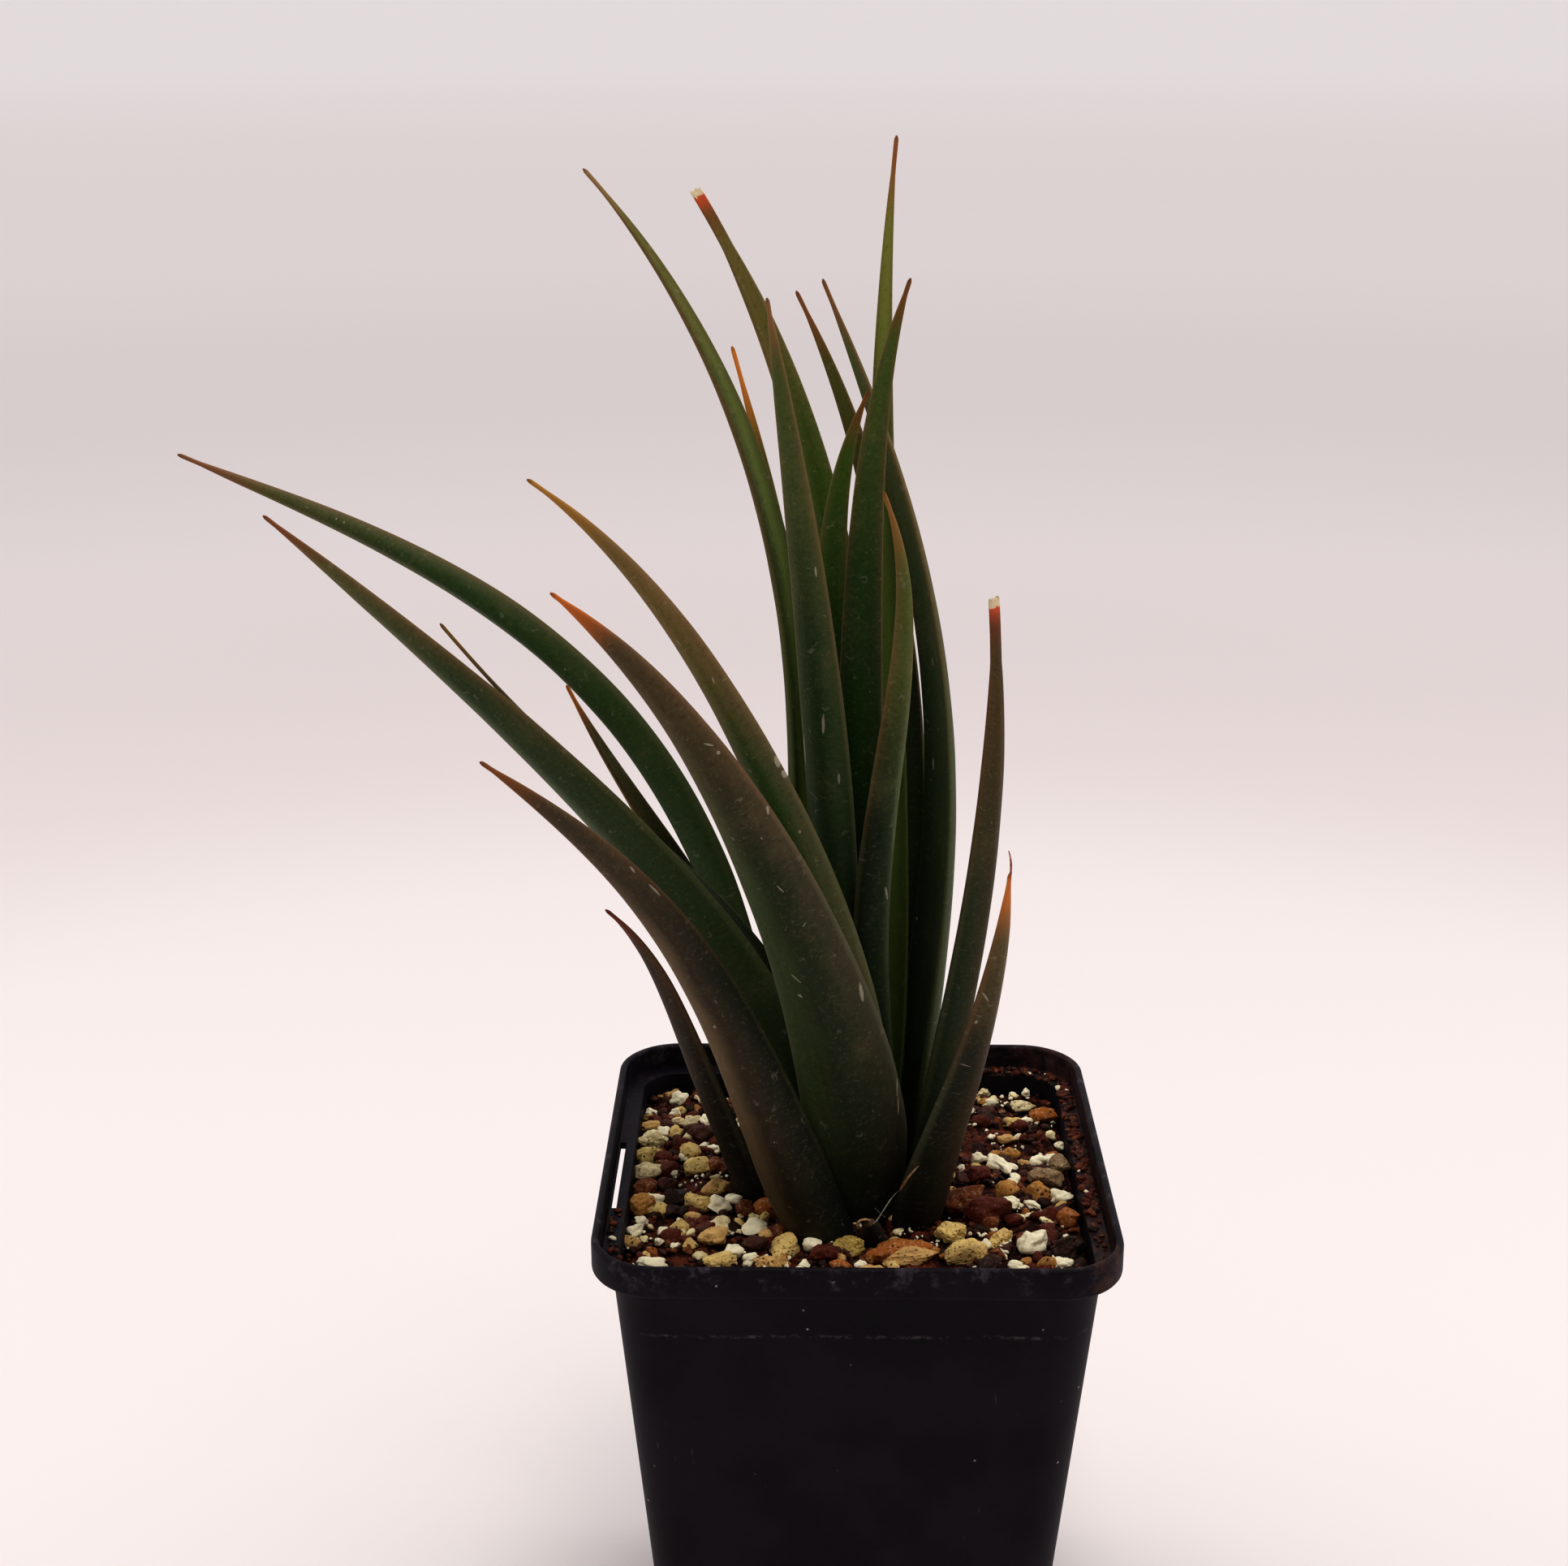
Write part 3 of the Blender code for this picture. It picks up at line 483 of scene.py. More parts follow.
def pot_finish():
    finish = Finish("pot_plastic", Specular_IOR_Level=0.15)
    place = finish.place()
    x, y, z = (finish.part(place, axis) for axis in "XYZ")
    cloudy = finish.clouds(place, 14.0, 4.0)
    black = finish.mix(cloudy.rise(0.3, 0.7), paint(27, 22, 30), paint(38, 32, 40))
    # rim dust and painted highlight: a pale coat along the top of the collar and the rim
    rim_dust_and_highlight = finish.clouds(place, 2.6, 5.0, 0.7).rise(0.5, 0.72)
    rim_dust_and_highlight = z.rise(POT_HEIGHT - RIM_DUST_AND_HIGHLIGHT_DEPTH, POT_HEIGHT) * rim_dust_and_highlight
    waver = (finish.clouds(place, 9.0) - 0.5) * 0.64
    lime = abs(z - LIME_LINE_HEIGHT + waver).rise(0.4, 0.05)
    lime = lime * finish.clouds(place, 1.6, 4.0, 0.7).rise(0.46, 0.66)
    stretch = {"operation": "MULTIPLY"}
    stretched = finish.node("ShaderNodeVectorMath", stretch, {0: place, 1: SCRATCH_STRETCH})
    scratches = finish.clouds(stretched, 0.9, 2.0).rise(0.70, 0.78) * cloudy.rise(0.5, 0.7)
    chalk = finish.clouds(place, 1.9, 5.0, 0.75).rise(0.66, 0.74)
    chalk = chalk * z.rise(STEP_HEIGHT, STEP_HEIGHT + 1.5)
    specks = finish.cells(place, 2.4).rise(0.10, 0.05) * finish.clouds(place, 5.0).rise(0.55, 0.66)
    inside = abs(x).maths("MAXIMUM", abs(y)).rise(COLLAR_INSIDE + 0.4, COLLAR_INSIDE - 0.2)
    peat_dust = inside * z.rise(LEDGE_HEIGHT - 0.6, LEDGE_HEIGHT) * x.rise(-30.0, 30.0)
    peat_dust = peat_dust * finish.clouds(place, 2.2, 4.0, 0.7).rise(0.35, 0.6)
    colour = finish.layers(black, (
        (rim_dust_and_highlight, 0.5, paint(112, 106, 112)),
        (lime, 0.3, paint(140, 132, 132)),
        (scratches, 0.35, paint(120, 112, 112)),
        (chalk, 0.5, paint(150, 154, 160)),
        (specks, 0.7, paint(188, 180, 176)),
        (peat_dust, 0.5, paint(92, 62, 52)),
    ))
    rough = 0.46 + cloudy * 0.16 + rim_dust_and_highlight * 0.25 + lime * 0.2
    height = finish.clouds(place, 0.8) * 0.5 + finish.clouds(place, 0.25, 2.0) * 0.25 + specks
    return finish.wear(colour, rough, finish.bump(height, 0.06, 0.6))


plastic = pot_finish()
pot = make_piece("pot_plastic_shell", pot_points, pot_faces, plastic)
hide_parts("pot")
print("the pot's finish has", len(plastic.node_tree.nodes), "nodes")

# %% [markdown]
# The slots and the drainage holes could be left out of the loft ring by ring, but a Boolean is
# simpler and leaves clean edges. Each cutter is a cube or a rod of size 1, stretched to the
# size of its hole and put in place. Only the result of the cut is kept.

# %% Cut the slots and the drains
def cut_through(target, cutter_name, make_shape, place, stretch):
    work = bmesh.new()
    make_shape(work)
    matrix = Matrix.Translation(Vector(place) * MM) @ Matrix.Diagonal((*(Vector(stretch) * MM), 1.0))
    bmesh.ops.transform(work, matrix=matrix, verts=work.verts)
    mesh = bpy.data.meshes.new(cutter_name)
    work.to_mesh(mesh)
    work.free()
    cutter = bpy.data.objects.new(cutter_name, mesh)
    bpy.context.scene.collection.objects.link(cutter)
    modifier = target.modifiers.new(cutter_name, "BOOLEAN")
    modifier.operation = "DIFFERENCE"
    modifier.object = cutter
    graph = bpy.context.evaluated_depsgraph_get()
    result = bpy.data.meshes.new_from_object(target.evaluated_get(graph))
    target.modifiers.clear()
    target.data = result
    bpy.data.objects.remove(cutter)


def cube(work):
    bmesh.ops.create_cube(work, size=1.0)


def rod(work):
    bmesh.ops.create_cone(work, cap_ends=True, segments=32, radius1=0.5, radius2=0.5, depth=1.0)


drain_size = (DRAIN_RADIUS * 2, DRAIN_RADIUS * 2, DRAIN_CUT_DEPTH)
for side in (-1, 1):
    cut_through(pot, "slot", cube, (side * SLOT_REACH, SLOT_MIDDLE_Y, STEP_HEIGHT), SLOT_SIZE)
    for end in (-1, 1):
        cut_through(pot, "drain", rod, (side * DRAIN_REACH, end * DRAIN_REACH, 0.0), drain_size)
pot.data.shade_smooth()
pot.data.set_sharp_from_angle(angle=math.radians(45))
print("the pot has", len(pot.data.polygons), "faces after its slots and drains")

# %% [markdown]
# ## The bed of potting mix
#
# Under the stones lies a dark, reddish peat whose crumbs are about one to three millimetres
# wide. The bed is a grid of points bent to the pot's rounded square. Three layers of round
# cells raise the crumbs, so that the light catches real edges, and the sides and the bottom
# close it, because the drain holes show it from below. It covers the plain hole in the CAD
# block, so that the mix closes round the leaves.

# %% Shape the bed
SOIL_LEVEL = 73.7
SOIL_LUMP_HEIGHT = 0.7
SOIL_LUMP_SPACING = 6.0
SOIL_MOUND = 0.6
AXIS = Vector((-1.5, -0.5, 0.0))
BED_STEPS = 240
BED_DROP = 0.75
EDGE_SETTLES = 0.5
CRUMB_SIZES = ((3.4, 0.8, 5), (1.6, 0.5, 3), (0.8, 0.3, 4))


def square_reach(angle, half_width, corner):
    """How far a rounded square's edge is from its centre in one direction."""
    across, along = sorted((abs(math.cos(angle)), abs(math.sin(angle))))
    straight = half_width - corner
    if half_width / along * across <= straight:
        return half_width / along
    diagonal = straight * (across + along)
    return diagonal + math.sqrt(diagonal**2 - 2 * straight**2 + corner**2)


def soil_height(x, y):
    lumps = noise.noise(Vector((x, y, 0.0)) / SOIL_LUMP_SPACING) * SOIL_LUMP_HEIGHT
    reach = math.hypot(x - AXIS.x, y - AXIS.y) / (POT_WIDTH / 2)
    return SOIL_LEVEL + SOIL_MOUND * (1.0 - reach) + lumps


def bed_reach(angle, height):
    """How far the mix reaches at that height, a tenth of a millimetre inside the wall."""
    return square_reach(angle, body_half_width(height) - BODY_WALL - 0.1, body_corner(height) - 0.6)


def crumb_height(x, y):
    """Round crumbs of several sizes, each layer raised by its own amount."""
    raised = 0.0
    for size, rise, seed in CRUMB_SIZES:
        near, middles = noise.voronoi(Vector((x / size, y / size, seed)))
        lift = noise.noise(middles[0] * 3.1) * 0.5 + 0.5
        raised += rise * lift * math.sqrt(max(0.0, 1.0 - (near[0] * 1.5) ** 2))
    return raised


bed_points = []
for row in range(BED_STEPS + 1):
    for column in range(BED_STEPS + 1):
        grid_x = column / BED_STEPS * 2 - 1
        grid_y = row / BED_STEPS * 2 - 1
        reach = max(abs(grid_x), abs(grid_y))
        angle = math.atan2(grid_y, grid_x)
        far = bed_reach(angle, SOIL_LEVEL) * reach
        x, y = far * math.cos(angle), far * math.sin(angle)
        settle = EDGE_SETTLES * smoothstep(0.93, 1.0, reach)
        bed_points.append((x, y, soil_height(x, y) - BED_DROP - settle + crumb_height(x, y)))
bed_faces = []
for row in range(BED_STEPS):
    for column in range(BED_STEPS):
        start = row * (BED_STEPS + 1) + column
        bed_faces.append((start, start + 1, start + BED_STEPS + 2, start + BED_STEPS + 1))
print("the bed has", len(bed_points), "points on its surface")

# %% [markdown]
# A bare sheet would show its open edge through the slots and the drainage holes, so the edge
# is carried down the pot's inner wall in three rings and closed by a fan of faces above the
# floor. The peat's finish gives each crumb its own tone: cells pick between a dark and a rich
# brown, and small pale flecks of perlite dust lie in drifts.

# %% Close the bed's sides and bottom
BED_BOTTOM = FLOOR_THICKNESS + 1.3
row_length = BED_STEPS + 1
edge = list(range(row_length))
edge += [row * row_length + BED_STEPS for row in range(1, row_length)]
edge += [BED_STEPS * row_length + column for column in range(BED_STEPS - 1, -1, -1)]
edge += [row * row_length for row in range(BED_STEPS - 1, 0, -1)]
previous = edge
for height in (SOIL_LEVEL - 4.0, 35.0, BED_BOTTOM):
    start = len(bed_points)
    for index in edge:
        angle = math.atan2(bed_points[index][1], bed_points[index][0])
        far = bed_reach(angle, height)
        bed_points.append((far * math.cos(angle), far * math.sin(angle), height))
    ring = list(range(start, start + len(edge)))
    for i in range(len(edge)):
        j = (i + 1) % len(edge)
        bed_faces.append((previous[i], previous[j], ring[j], ring[i]))
    previous = ring
bed_points.append((0.0, 0.0, BED_BOTTOM))
for i in range(len(edge)):
    bed_faces.append((previous[i], previous[(i + 1) % len(edge)], len(bed_points) - 1))
print("the bed closes", round(SOIL_LEVEL - BED_BOTTOM, 1), "mm below its top")

# %% Finish the bed
def peat_finish():
    finish = Finish("peat", Specular_IOR_Level=0.25)
    place = finish.place()
    fine = finish.clouds(place, 0.7, 5.0, 0.7)
    crumbs, clumps = (
        finish.node("ShaderNodeSeparateColor", {}, {0: finish.cells(place, size, "Color")}, 0)
        for size in (1.1, 3.0)
    )
    dark = finish.mix(fine.rise(0.3, 0.7), paint(24, 11, 9), paint(62, 30, 22))
    rich = finish.mix(fine.rise(0.3, 0.7), paint(66, 28, 20), paint(128, 70, 48))
    red = finish.mix((crumbs + clumps * 0.8).rise(0.85, 1.1), dark, rich)
    flecks = finish.cells(place, 0.85).rise(0.14, 0.08) * finish.clouds(place, 6.0).rise(0.5, 0.6)
    colour = finish.layers(red, (
        (finish.clouds(place, 7.0).rise(0.5, 0.7), 0.6, paint(52, 32, 26)),
        (flecks, 0.8, paint(214, 202, 184)),
    ))
    return finish.wear(colour, 0.75 + fine * 0.2, finish.bump(fine, 0.25))


bed = make_piece("potting_mix_bed", bed_points, bed_faces, peat_finish())
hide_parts("soil")
print("the bed has", len(bed_faces), "faces")

# %% [markdown]
# ## Stones
#
# The mix is dressed with sieved grit: white perlite, cream and tan pumice full of pits, orange
# and brown fired clay, and dark red lava. A real bag of grit holds no two alike, so each stone
# starts as a ball of points, is pushed in and out by noise, chipped flat by a few random
# planes, and then pitted if it is porous. Perlite pops like corn, so white and cream stones
# get a few knobs in place of flats. The stones that stand out on the real plant keep their
# places and colours, listed one by one with the CAD's own rule for clearing the pot's wall.

# %% List the stones
# Each row: x, y, length, breadth, turn in degrees, kind.
STONES = [
    (-30.2, 12.5, 4.2, 3.2, 10, "cream"), (-29.8, 7, 3.6, 2.6, 30, "yellow"),
    (-30.3, 2.2, 3.9, 3, 0, "cream"), (-30.3, -7.8, 3.6, 3.2, 60, "ochre"),
    (-30.2, -2.7, 3.4, 2.6, 0, "brown"), (-31, -14.8, 2.6, 1.9, 70, "white"),
    (-26, 25.8, 2.8, 2.4, 20, "white"), (-25.8, 19.3, 2.2, 1.8, 0, "cream"),
    (-23.8, 18.6, 2.8, 2.2, 50, "cream"), (-21.6, 18.2, 2.4, 1.8, 100, "white"),
    (-30, 17.8, 3.6, 1.6, 5, "tan"), (-28, 15.4, 2, 1.7, 0, "white"),
    (-26.2, 15.6, 2.6, 1.9, 70, "yellow"), (-22.2, 13.6, 3.8, 3, 0, "purple"),
    (-23.7, 8.2, 3.4, 2.6, 150, "yellow"), (-22.2, 4.2, 3.8, 3, 40, "yellow"),
    (-19.4, 4.2, 3.4, 2.6, 110, "brown"), (-20.2, 10, 2.4, 1.7, 110, "white"),
    (-26.8, 3.2, 3.6, 2.8, 20, "red"), (-27.9, -5.8, 3.3, 1.9, 5, "white"),
    (-27.3, -8.5, 2.6, 2.1, 0, "yellow"), (-24.8, -5.2, 3.4, 2.8, 0, "dark"),
    (-19.4, -2.9, 4, 2.2, 25, "tan"), (-21.8, -7, 3.4, 2.9, 0, "yellow"),
    (-18.8, -7.8, 3.2, 3.2, 0, "white"), (-16.8, -6, 2.2, 1.9, 0, "white"),
    (-15.2, -8.2, 3.6, 2.4, 110, "brown"), (-11.8, -8.2, 4.2, 3, -20, "orange"),
    (-22.2, -11.2, 2.8, 1.9, 160, "tan"), (-18.6, -13.4, 3.6, 2.4, 165, "cream"),
    (-24.3, -13.6, 3.2, 2.2, 15, "yellow"), (-13.7, -14.1, 3.6, 2.6, 25, "white"),
    (-7.4, -12.8, 4, 2.2, -50, "white"), (-9.8, -18.8, 4.8, 3.8, 70, "yellow"),
    (-19.2, -17.4, 3.6, 2.8, 20, "tan"), (-13.6, -18.2, 3.2, 2.2, 0, "purple"),
    (-16.4, -20.5, 3.2, 2.4, 60, "white"), (-18.2, -23.2, 4, 2.4, 5, "yellow"),
    (-11.2, -23.2, 4.4, 2.2, 0, "tan"), (-27.2, -23.9, 3.8, 2.4, 0, "white"),
    (-5.8, -18.8, 2.6, 1.9, -20, "white"), (-4.3, -20.9, 3.4, 2.8, 0, "red"),
    (-1.2, -19.4, 4.2, 3, 20, "olive"), (5.8, -20.2, 8.0, 3.2, 14, "orange"),
    (7.4, -21.5, 7.2, 2.6, 16, "tan"), (13, -15.4, 4.2, 3.4, 50, "yellow"),
    (14.8, -20.6, 5.2, 3.9, 0, "yellow"), (15.2, -6.8, 6, 4.8, 30, "brown"), (18, 2, 3.2, 3, 0, "red"),
    (19.6, -16.4, 4.4, 2.4, 50, "yellow"), (18.4, -10.4, 6, 4.6, 0, "red"),
    (18.4, 8, 2.3, 1.9, 20, "white"), (21.2, 5, 5, 2.6, -50, "white"),
    (23.2, 1.8, 2.6, 1.5, 75, "white"), (22.9, 8.6, 2.8, 2.2, 10, "ochre"),
    (26.8, 7.2, 2.4, 2, 30, "white"), (28.9, 6.4, 3.6, 2.4, -10, "white"),
    (30.6, 4.2, 3.4, 3, 80, "grey"), (27.4, 1.2, 4.6, 3.2, 0, "grey"),
    (26, -3.2, 4.2, 3.2, -40, "ochre"), (29.2, -4.4, 3, 2.6, 0, "white"),
    (30.2, -10.6, 3.8, 3.1, 80, "orange"), (21.5, -6.3, 3.4, 1.7, 15, "white"),
    (24.8, -6.2, 2.6, 1.4, -50, "white"), (24, -17.8, 4.6, 3.2, 50, "white"),
    (27.6, -22.4, 2.4, 2, 0, "white"), (25.4, -22.6, 2.6, 2.2, 30, "ochre"),
    (21.6, -23.4, 2.6, 1.6, 0, "white"), (29, 21, 3.8, 3, 0, "orange"),
    (26.3, 25.6, 3.6, 2.2, 25, "cream"), (26.4, 20.3, 1.8, 1.5, 0, "white"),
    (21.6, 27, 2.2, 1.7, 0, "cream"), (23, 13.8, 2.6, 1.7, 10, "tan"), (20.5, 30, 2, 1.7, 60, "cream"),
    (29.6, -17.6, 4.2, 3, 20, "dark"), (-2, 22, 3.6, 3, 0, "red"), (6, 26, 4.2, 3, 40, "white"),
    (-10, 25.5, 3.8, 2.8, 70, "yellow"), (13.5, 20.5, 3.6, 2.6, 0, "dark"),
    (-15.5, 20.5, 3.4, 2.6, 30, "cream"), (2, -27.5, 4, 3, 15, "tan"), (-8, -28, 3.6, 2.8, 60, "white"),
    (12, -28, 3.8, 2.8, 0, "brown"), (20, -28, 3.4, 2.6, 30, "cream"),
    (-20, -28.2, 3.8, 2.8, 0, "ochre"), (-27.5, -28, 3.2, 2.4, 40, "white"),
    (27.5, -27.5, 3.4, 2.6, 0, "red"), (-26.5, 22.5, 1.7, 1.4, 0, "white"),
    (-30.2, 23, 1.6, 1.3, 0, "white"), (-30.8, 21.3, 1.8, 1.3, 0, "tan"),
    (-31.3, 8.6, 1.8, 1.3, 40, "brown"), (-27.5, 5.6, 2.2, 1.8, 0, "brown"),
    (-22.3, -18.3, 1.9, 1.6, 0, "yellow"), (-24.4, -18.3, 1.5, 1.1, 60, "white"),
    (-26.6, -16.6, 1.6, 1.2, 80, "white"), (-29.4, -11.4, 1.8, 1.4, 0, "white"),
    (-30.4, -17.6, 2.2, 1.8, 20, "tan"), (-14.2, -21.8, 2.4, 1.6, 70, "white"),
    (-6.9, -22.9, 1.9, 1.4, 80, "white"), (0.6, -22.7, 1.6, 1.1, 0, "white"),
    (-2.1, -23.4, 2.6, 1.6, 0, "orange"), (17.6, -23.4, 3.2, 2.2, 0, "dark"),
    (24.8, 15, 1.4, 1.1, 30, "white"), (31.1, 12.6, 1.8, 1.3, 80, "white"),
    (24.8, 6.3, 1.7, 1.2, 0, "tan"), (21.6, -3.4, 3.2, 2.6, 30, "ochre"),
    (18.6, -11.8, 3.2, 2.4, 60, "brown"), (26.8, -9.6, 3.4, 2.6, 0, "red"),
    (28.0, -19.8, 3.0, 2.4, 30, "dark"), (-25.2, -9.3, 2.4, 1.8, 0, "dark"),
    (-21, -15.3, 2.6, 2.0, 20, "purple"), (-10.2, -14.8, 2.4, 1.9, 60, "brown"),
    (-24.6, 11.2, 3.0, 2.4, 0, "red"), (-26.4, -1.2, 3.0, 2.2, 20, "purple"),
]
STONE_PAINT = {
    "white": paint(255, 247, 216), "cream": paint(252, 238, 190), "yellow": paint(236, 208, 138),
    "tan": paint(220, 182, 120), "olive": paint(206, 182, 104), "ochre": paint(188, 138, 72),
    "orange": paint(176, 110, 50), "brown": paint(124, 70, 40), "red": paint(96, 38, 24),
    "purple": paint(84, 50, 44), "dark": paint(50, 32, 28), "grey": paint(158, 136, 106),
}
PUMICE = ("cream", "yellow", "tan", "olive", "grey")
LAVA = ("red", "purple", "dark")
STONE_STANDS_OUT = 0.25
print(len(STONES), "large stones")

# %% Start from a ball
def ball(detail):
    """The points and triangles of a ball of radius 1."""
    work = bmesh.new()
    bmesh.ops.create_icosphere(work, subdivisions=detail, radius=1.0)
    points = np.array([vert.co for vert in work.verts])
    faces = np.array([[vert.index for vert in face.verts] for face in work.faces])
    work.free()
    return points, faces


def unit(rows):
    return rows / np.linalg.norm(rows, axis=-1, keepdims=True)


BALLS = {detail: ball(detail) for detail in (2, 3, 4, 5)}
WEAR_SHARPNESS = 16.0
KNOBS = 6
KNOB_SHARPNESS = 6.0
SMOOTH_DETAIL = 3
print("a fine ball has", len(BALLS[5][1]), "faces")

# %% [markdown]
# The noise comes in layers of two sizes for every stone, and two finer ones for those that are
# large enough to show them. Chipping pushes the points that lie beyond a random plane back
# towards it, with a soft edge, because sharp flats would look freshly broken.

# %% Shape one stone
def stone_shape(detail, rng, kind):
    """A stone that just fits a box of side 1, worn flat by planes and pitted if it is porous."""
    directions = BALLS[detail][0]
    seed = rng.uniform(0, 90)
    knobbly = kind in ("white", "cream")
    reach = 1.0 + 0.40 * rough_noise(directions, 1.1, seed)
    reach = reach + 0.20 * rough_noise(directions, 0.5, seed + 3)
    if knobbly:
        knobs = unit(np.array([[rng.gauss(0, 1) for _ in range(3)] for _ in range(KNOBS)]))
        nearness = (directions @ knobs.T - 1.0).max(axis=1)
        reach += 0.55 * np.exp(nearness * KNOB_SHARPNESS) - 0.15
    if detail > SMOOTH_DETAIL:
        grain = 0.07 * rough_noise(directions, 0.25, seed + 5)
        reach += grain + 0.03 * rough_noise(directions, 0.1, seed + 6)
    points = directions * reach[:, None]
    for _ in range(1 if knobbly else 5):
        normal = np.array([rng.gauss(0, 1) for _ in range(3)])
        normal /= np.linalg.norm(normal)
        over = points @ normal - rng.uniform(0.55, 0.9)
        worn = np.logaddexp(over * WEAR_SHARPNESS, 0.0) / WEAR_SHARPNESS
        points -= np.outer(worn * 0.85, normal)
    if kind in PUMICE and detail > SMOOTH_DETAIL:
        pits = rough_noise(directions, 0.15, seed + 9)
        points *= (1.0 - 0.14 * smoothstep(0.2, 0.5, pits))[:, None]
    low, high = points.min(axis=0), points.max(axis=0)
    return (points - (low + high) / 2) / (high - low)


def turn_and_place(shape, size, turn, tilt, middle):
    matrix = Matrix.Rotation(turn, 3, "Z") @ Matrix.Rotation(tilt, 3, "X")
    return (shape * np.array(size)) @ np.array(matrix).T + np.array(middle)


def clear_wall(x, y, length):
    """Moves a stone inwards until no more than 0.4 mm of it meets the pot's wall."""
    while math.hypot(x, y) > bed_reach(math.atan2(y, x), SOIL_LEVEL) - length / 2 + 0.4:
        x, y = x * 0.99, y * 0.99
    return x, y


print("chipping planes: 1 on white and cream stones, 5 on the others")

# %% [markdown]
# More than three thousand separate objects would be slow, so stones of one family are
# gathered in a heap that becomes a single mesh. Every point remembers its stone's colour. It
# also stores a tone that is highest at the stone's foot, where peat dust clings and shade is
# painted.

# %% Gather stones in heaps
OWN_DUST = 0.3


class Heap:
    """Many stones gathered into one mesh, each point with its stone's colour and a tone."""

    def __init__(self):
        self.points, self.faces, self.colours, self.tones = [], [], [], []
        self.count = 0

    def add(self, points, detail, colour, tone):
        self.points.append(points)
        self.faces.append(BALLS[detail][1] + self.count)
        self.colours.append(np.tile(colour, (len(points), 1)))
        height = (points[:, 2] - points[:, 2].min()) / np.ptp(points[:, 2])
        # darker towards each stone's foot: peat dust together with painted shade
        self.tones.append(tone * OWN_DUST + (1.0 - OWN_DUST) * smoothstep(0.65, 0.1, height))
        self.count += len(points)

    def piece(self, name, material):
        attributes = {"paint": np.vstack(self.colours), "tone": np.concatenate(self.tones)}
        points, faces = np.vstack(self.points), np.vstack(self.faces)
        made = make_piece(name, points, faces, material, attributes)
        print(name, "has", len(made.data.polygons), "faces")


porous, dark, pale, crumbs = Heap(), Heap(), Heap(), Heap()
print("four heaps are ready: porous grit, dark lava, pale perlite and peat crumbs")

# %% [markdown]
# One recipe with other strengths finishes all the grit, and it reads the colour that was
# stored on each stone. Pumice and fired clay are stained by iron and carry painted highlights
# in spots. They are full of small pits, painted dark for dark grains and the shade inside
# them, and their foot is darker, for peat dust and painted shade. Lava is redder and duller,
# and perlite almost white with a little dirt.

# %% Finish the stones
def stone_finish(name, pits, stain, painted_gleam, foot_dust_and_shade, roughness):
    finish = Finish(name, Specular_IOR_Level=0.3)
    place = finish.place()
    own = finish.attribute("paint", "Color")
    tone = finish.attribute("tone")
    soft = finish.clouds(place, 2.4, 4.0, 0.6)
    fine = finish.clouds(place, 0.45, 4.0, 0.7)
    # the pits are painted dark: dark grains together with painted shade inside the hollows
    hollow = (finish.cells(place, 0.85) + fine * 0.25).rise(0.40, 0.24)
    hollow = hollow * finish.clouds(place, 1.6).rise(0.42, 0.54) * pits
    dirt = finish.clouds(place, 1.1, 5.0, 0.75).rise(0.58, 0.70)
    colour = finish.layers(own, (
        (soft.rise(0.35, 0.75), stain, paint(118, 68, 34)),
        # painted highlight: cream spots where light catches the grain
        (fine.rise(0.5, 0.75), painted_gleam, paint(252, 238, 206)),
        # the foot coat: peat dust with painted shade under each stone
        (tone, foot_dust_and_shade, paint(66, 38, 26)),
        (hollow, 1.0, paint(58, 34, 20)),
        (dirt, 0.75 * pits, paint(74, 40, 26)),
    ))
    height = fine - hollow * 0.8
    return finish.wear(colour, roughness + fine * 0.2, finish.bump(height, 0.16))


pumice_finish = stone_finish(
    "pumice_and_clay", pits=0.9, stain=0.4, painted_gleam=0.5, foot_dust_and_shade=0.7, roughness=0.7
)
lava_finish = stone_finish(
    "lava", pits=0.6, stain=0.15, painted_gleam=0.12, foot_dust_and_shade=0.5, roughness=0.6
)
perlite_finish = stone_finish(
    "perlite", pits=0.2, stain=0.03, painted_gleam=0.5, foot_dust_and_shade=0.5, roughness=0.8
)
print("grit finishes:", pumice_finish.name, lava_finish.name, perlite_finish.name)

# %% [markdown]
# The listed stones are laid first, with their middles a quarter of their thickness above the
# mix. The longest ones are made from the finest balls, since their surface shows most.

# %% Lay the large stones
LONGEST_COARSE_STONE = 4.1
STONE_SWELL = 1.16

rng = random.Random(11)
for x, y, length, breadth, turn, kind in STONES:
    x, y = clear_wall(x, y, length)
    thickness = breadth * rng.uniform(0.75, 0.95)
    middle = (x, y, soil_height(x, y) + thickness * STONE_STANDS_OUT)
    detail = 5 if length > LONGEST_COARSE_STONE else 4
    shape = stone_shape(detail, rng, kind)
    size = np.array((length, breadth, thickness)) * STONE_SWELL
    points = turn_and_place(shape, size, math.radians(turn), rng.uniform(-0.25, 0.25), middle)
    heap = pale if kind == "white" else dark if kind in LAVA else porous
    heap.add(points, detail, STONE_PAINT[kind], rng.uniform(0.0, 0.5))
print("large stones placed:", len(STONES))

# %% [markdown]
# Between the large stones lie hundreds of smaller grains and thousands of crumbs. A particle
# system could strew them, but a loop with a seeded random rule gives the same bed on every
# run: dark peat crumbs everywhere, fewer grains of the mineral colours, and white flecks in
# loose drifts.

# %% Scatter the small grains
SCATTER_REACH = 32
HEART_CLEARANCE = 8.0
DRIFT_SIZE = 5.0


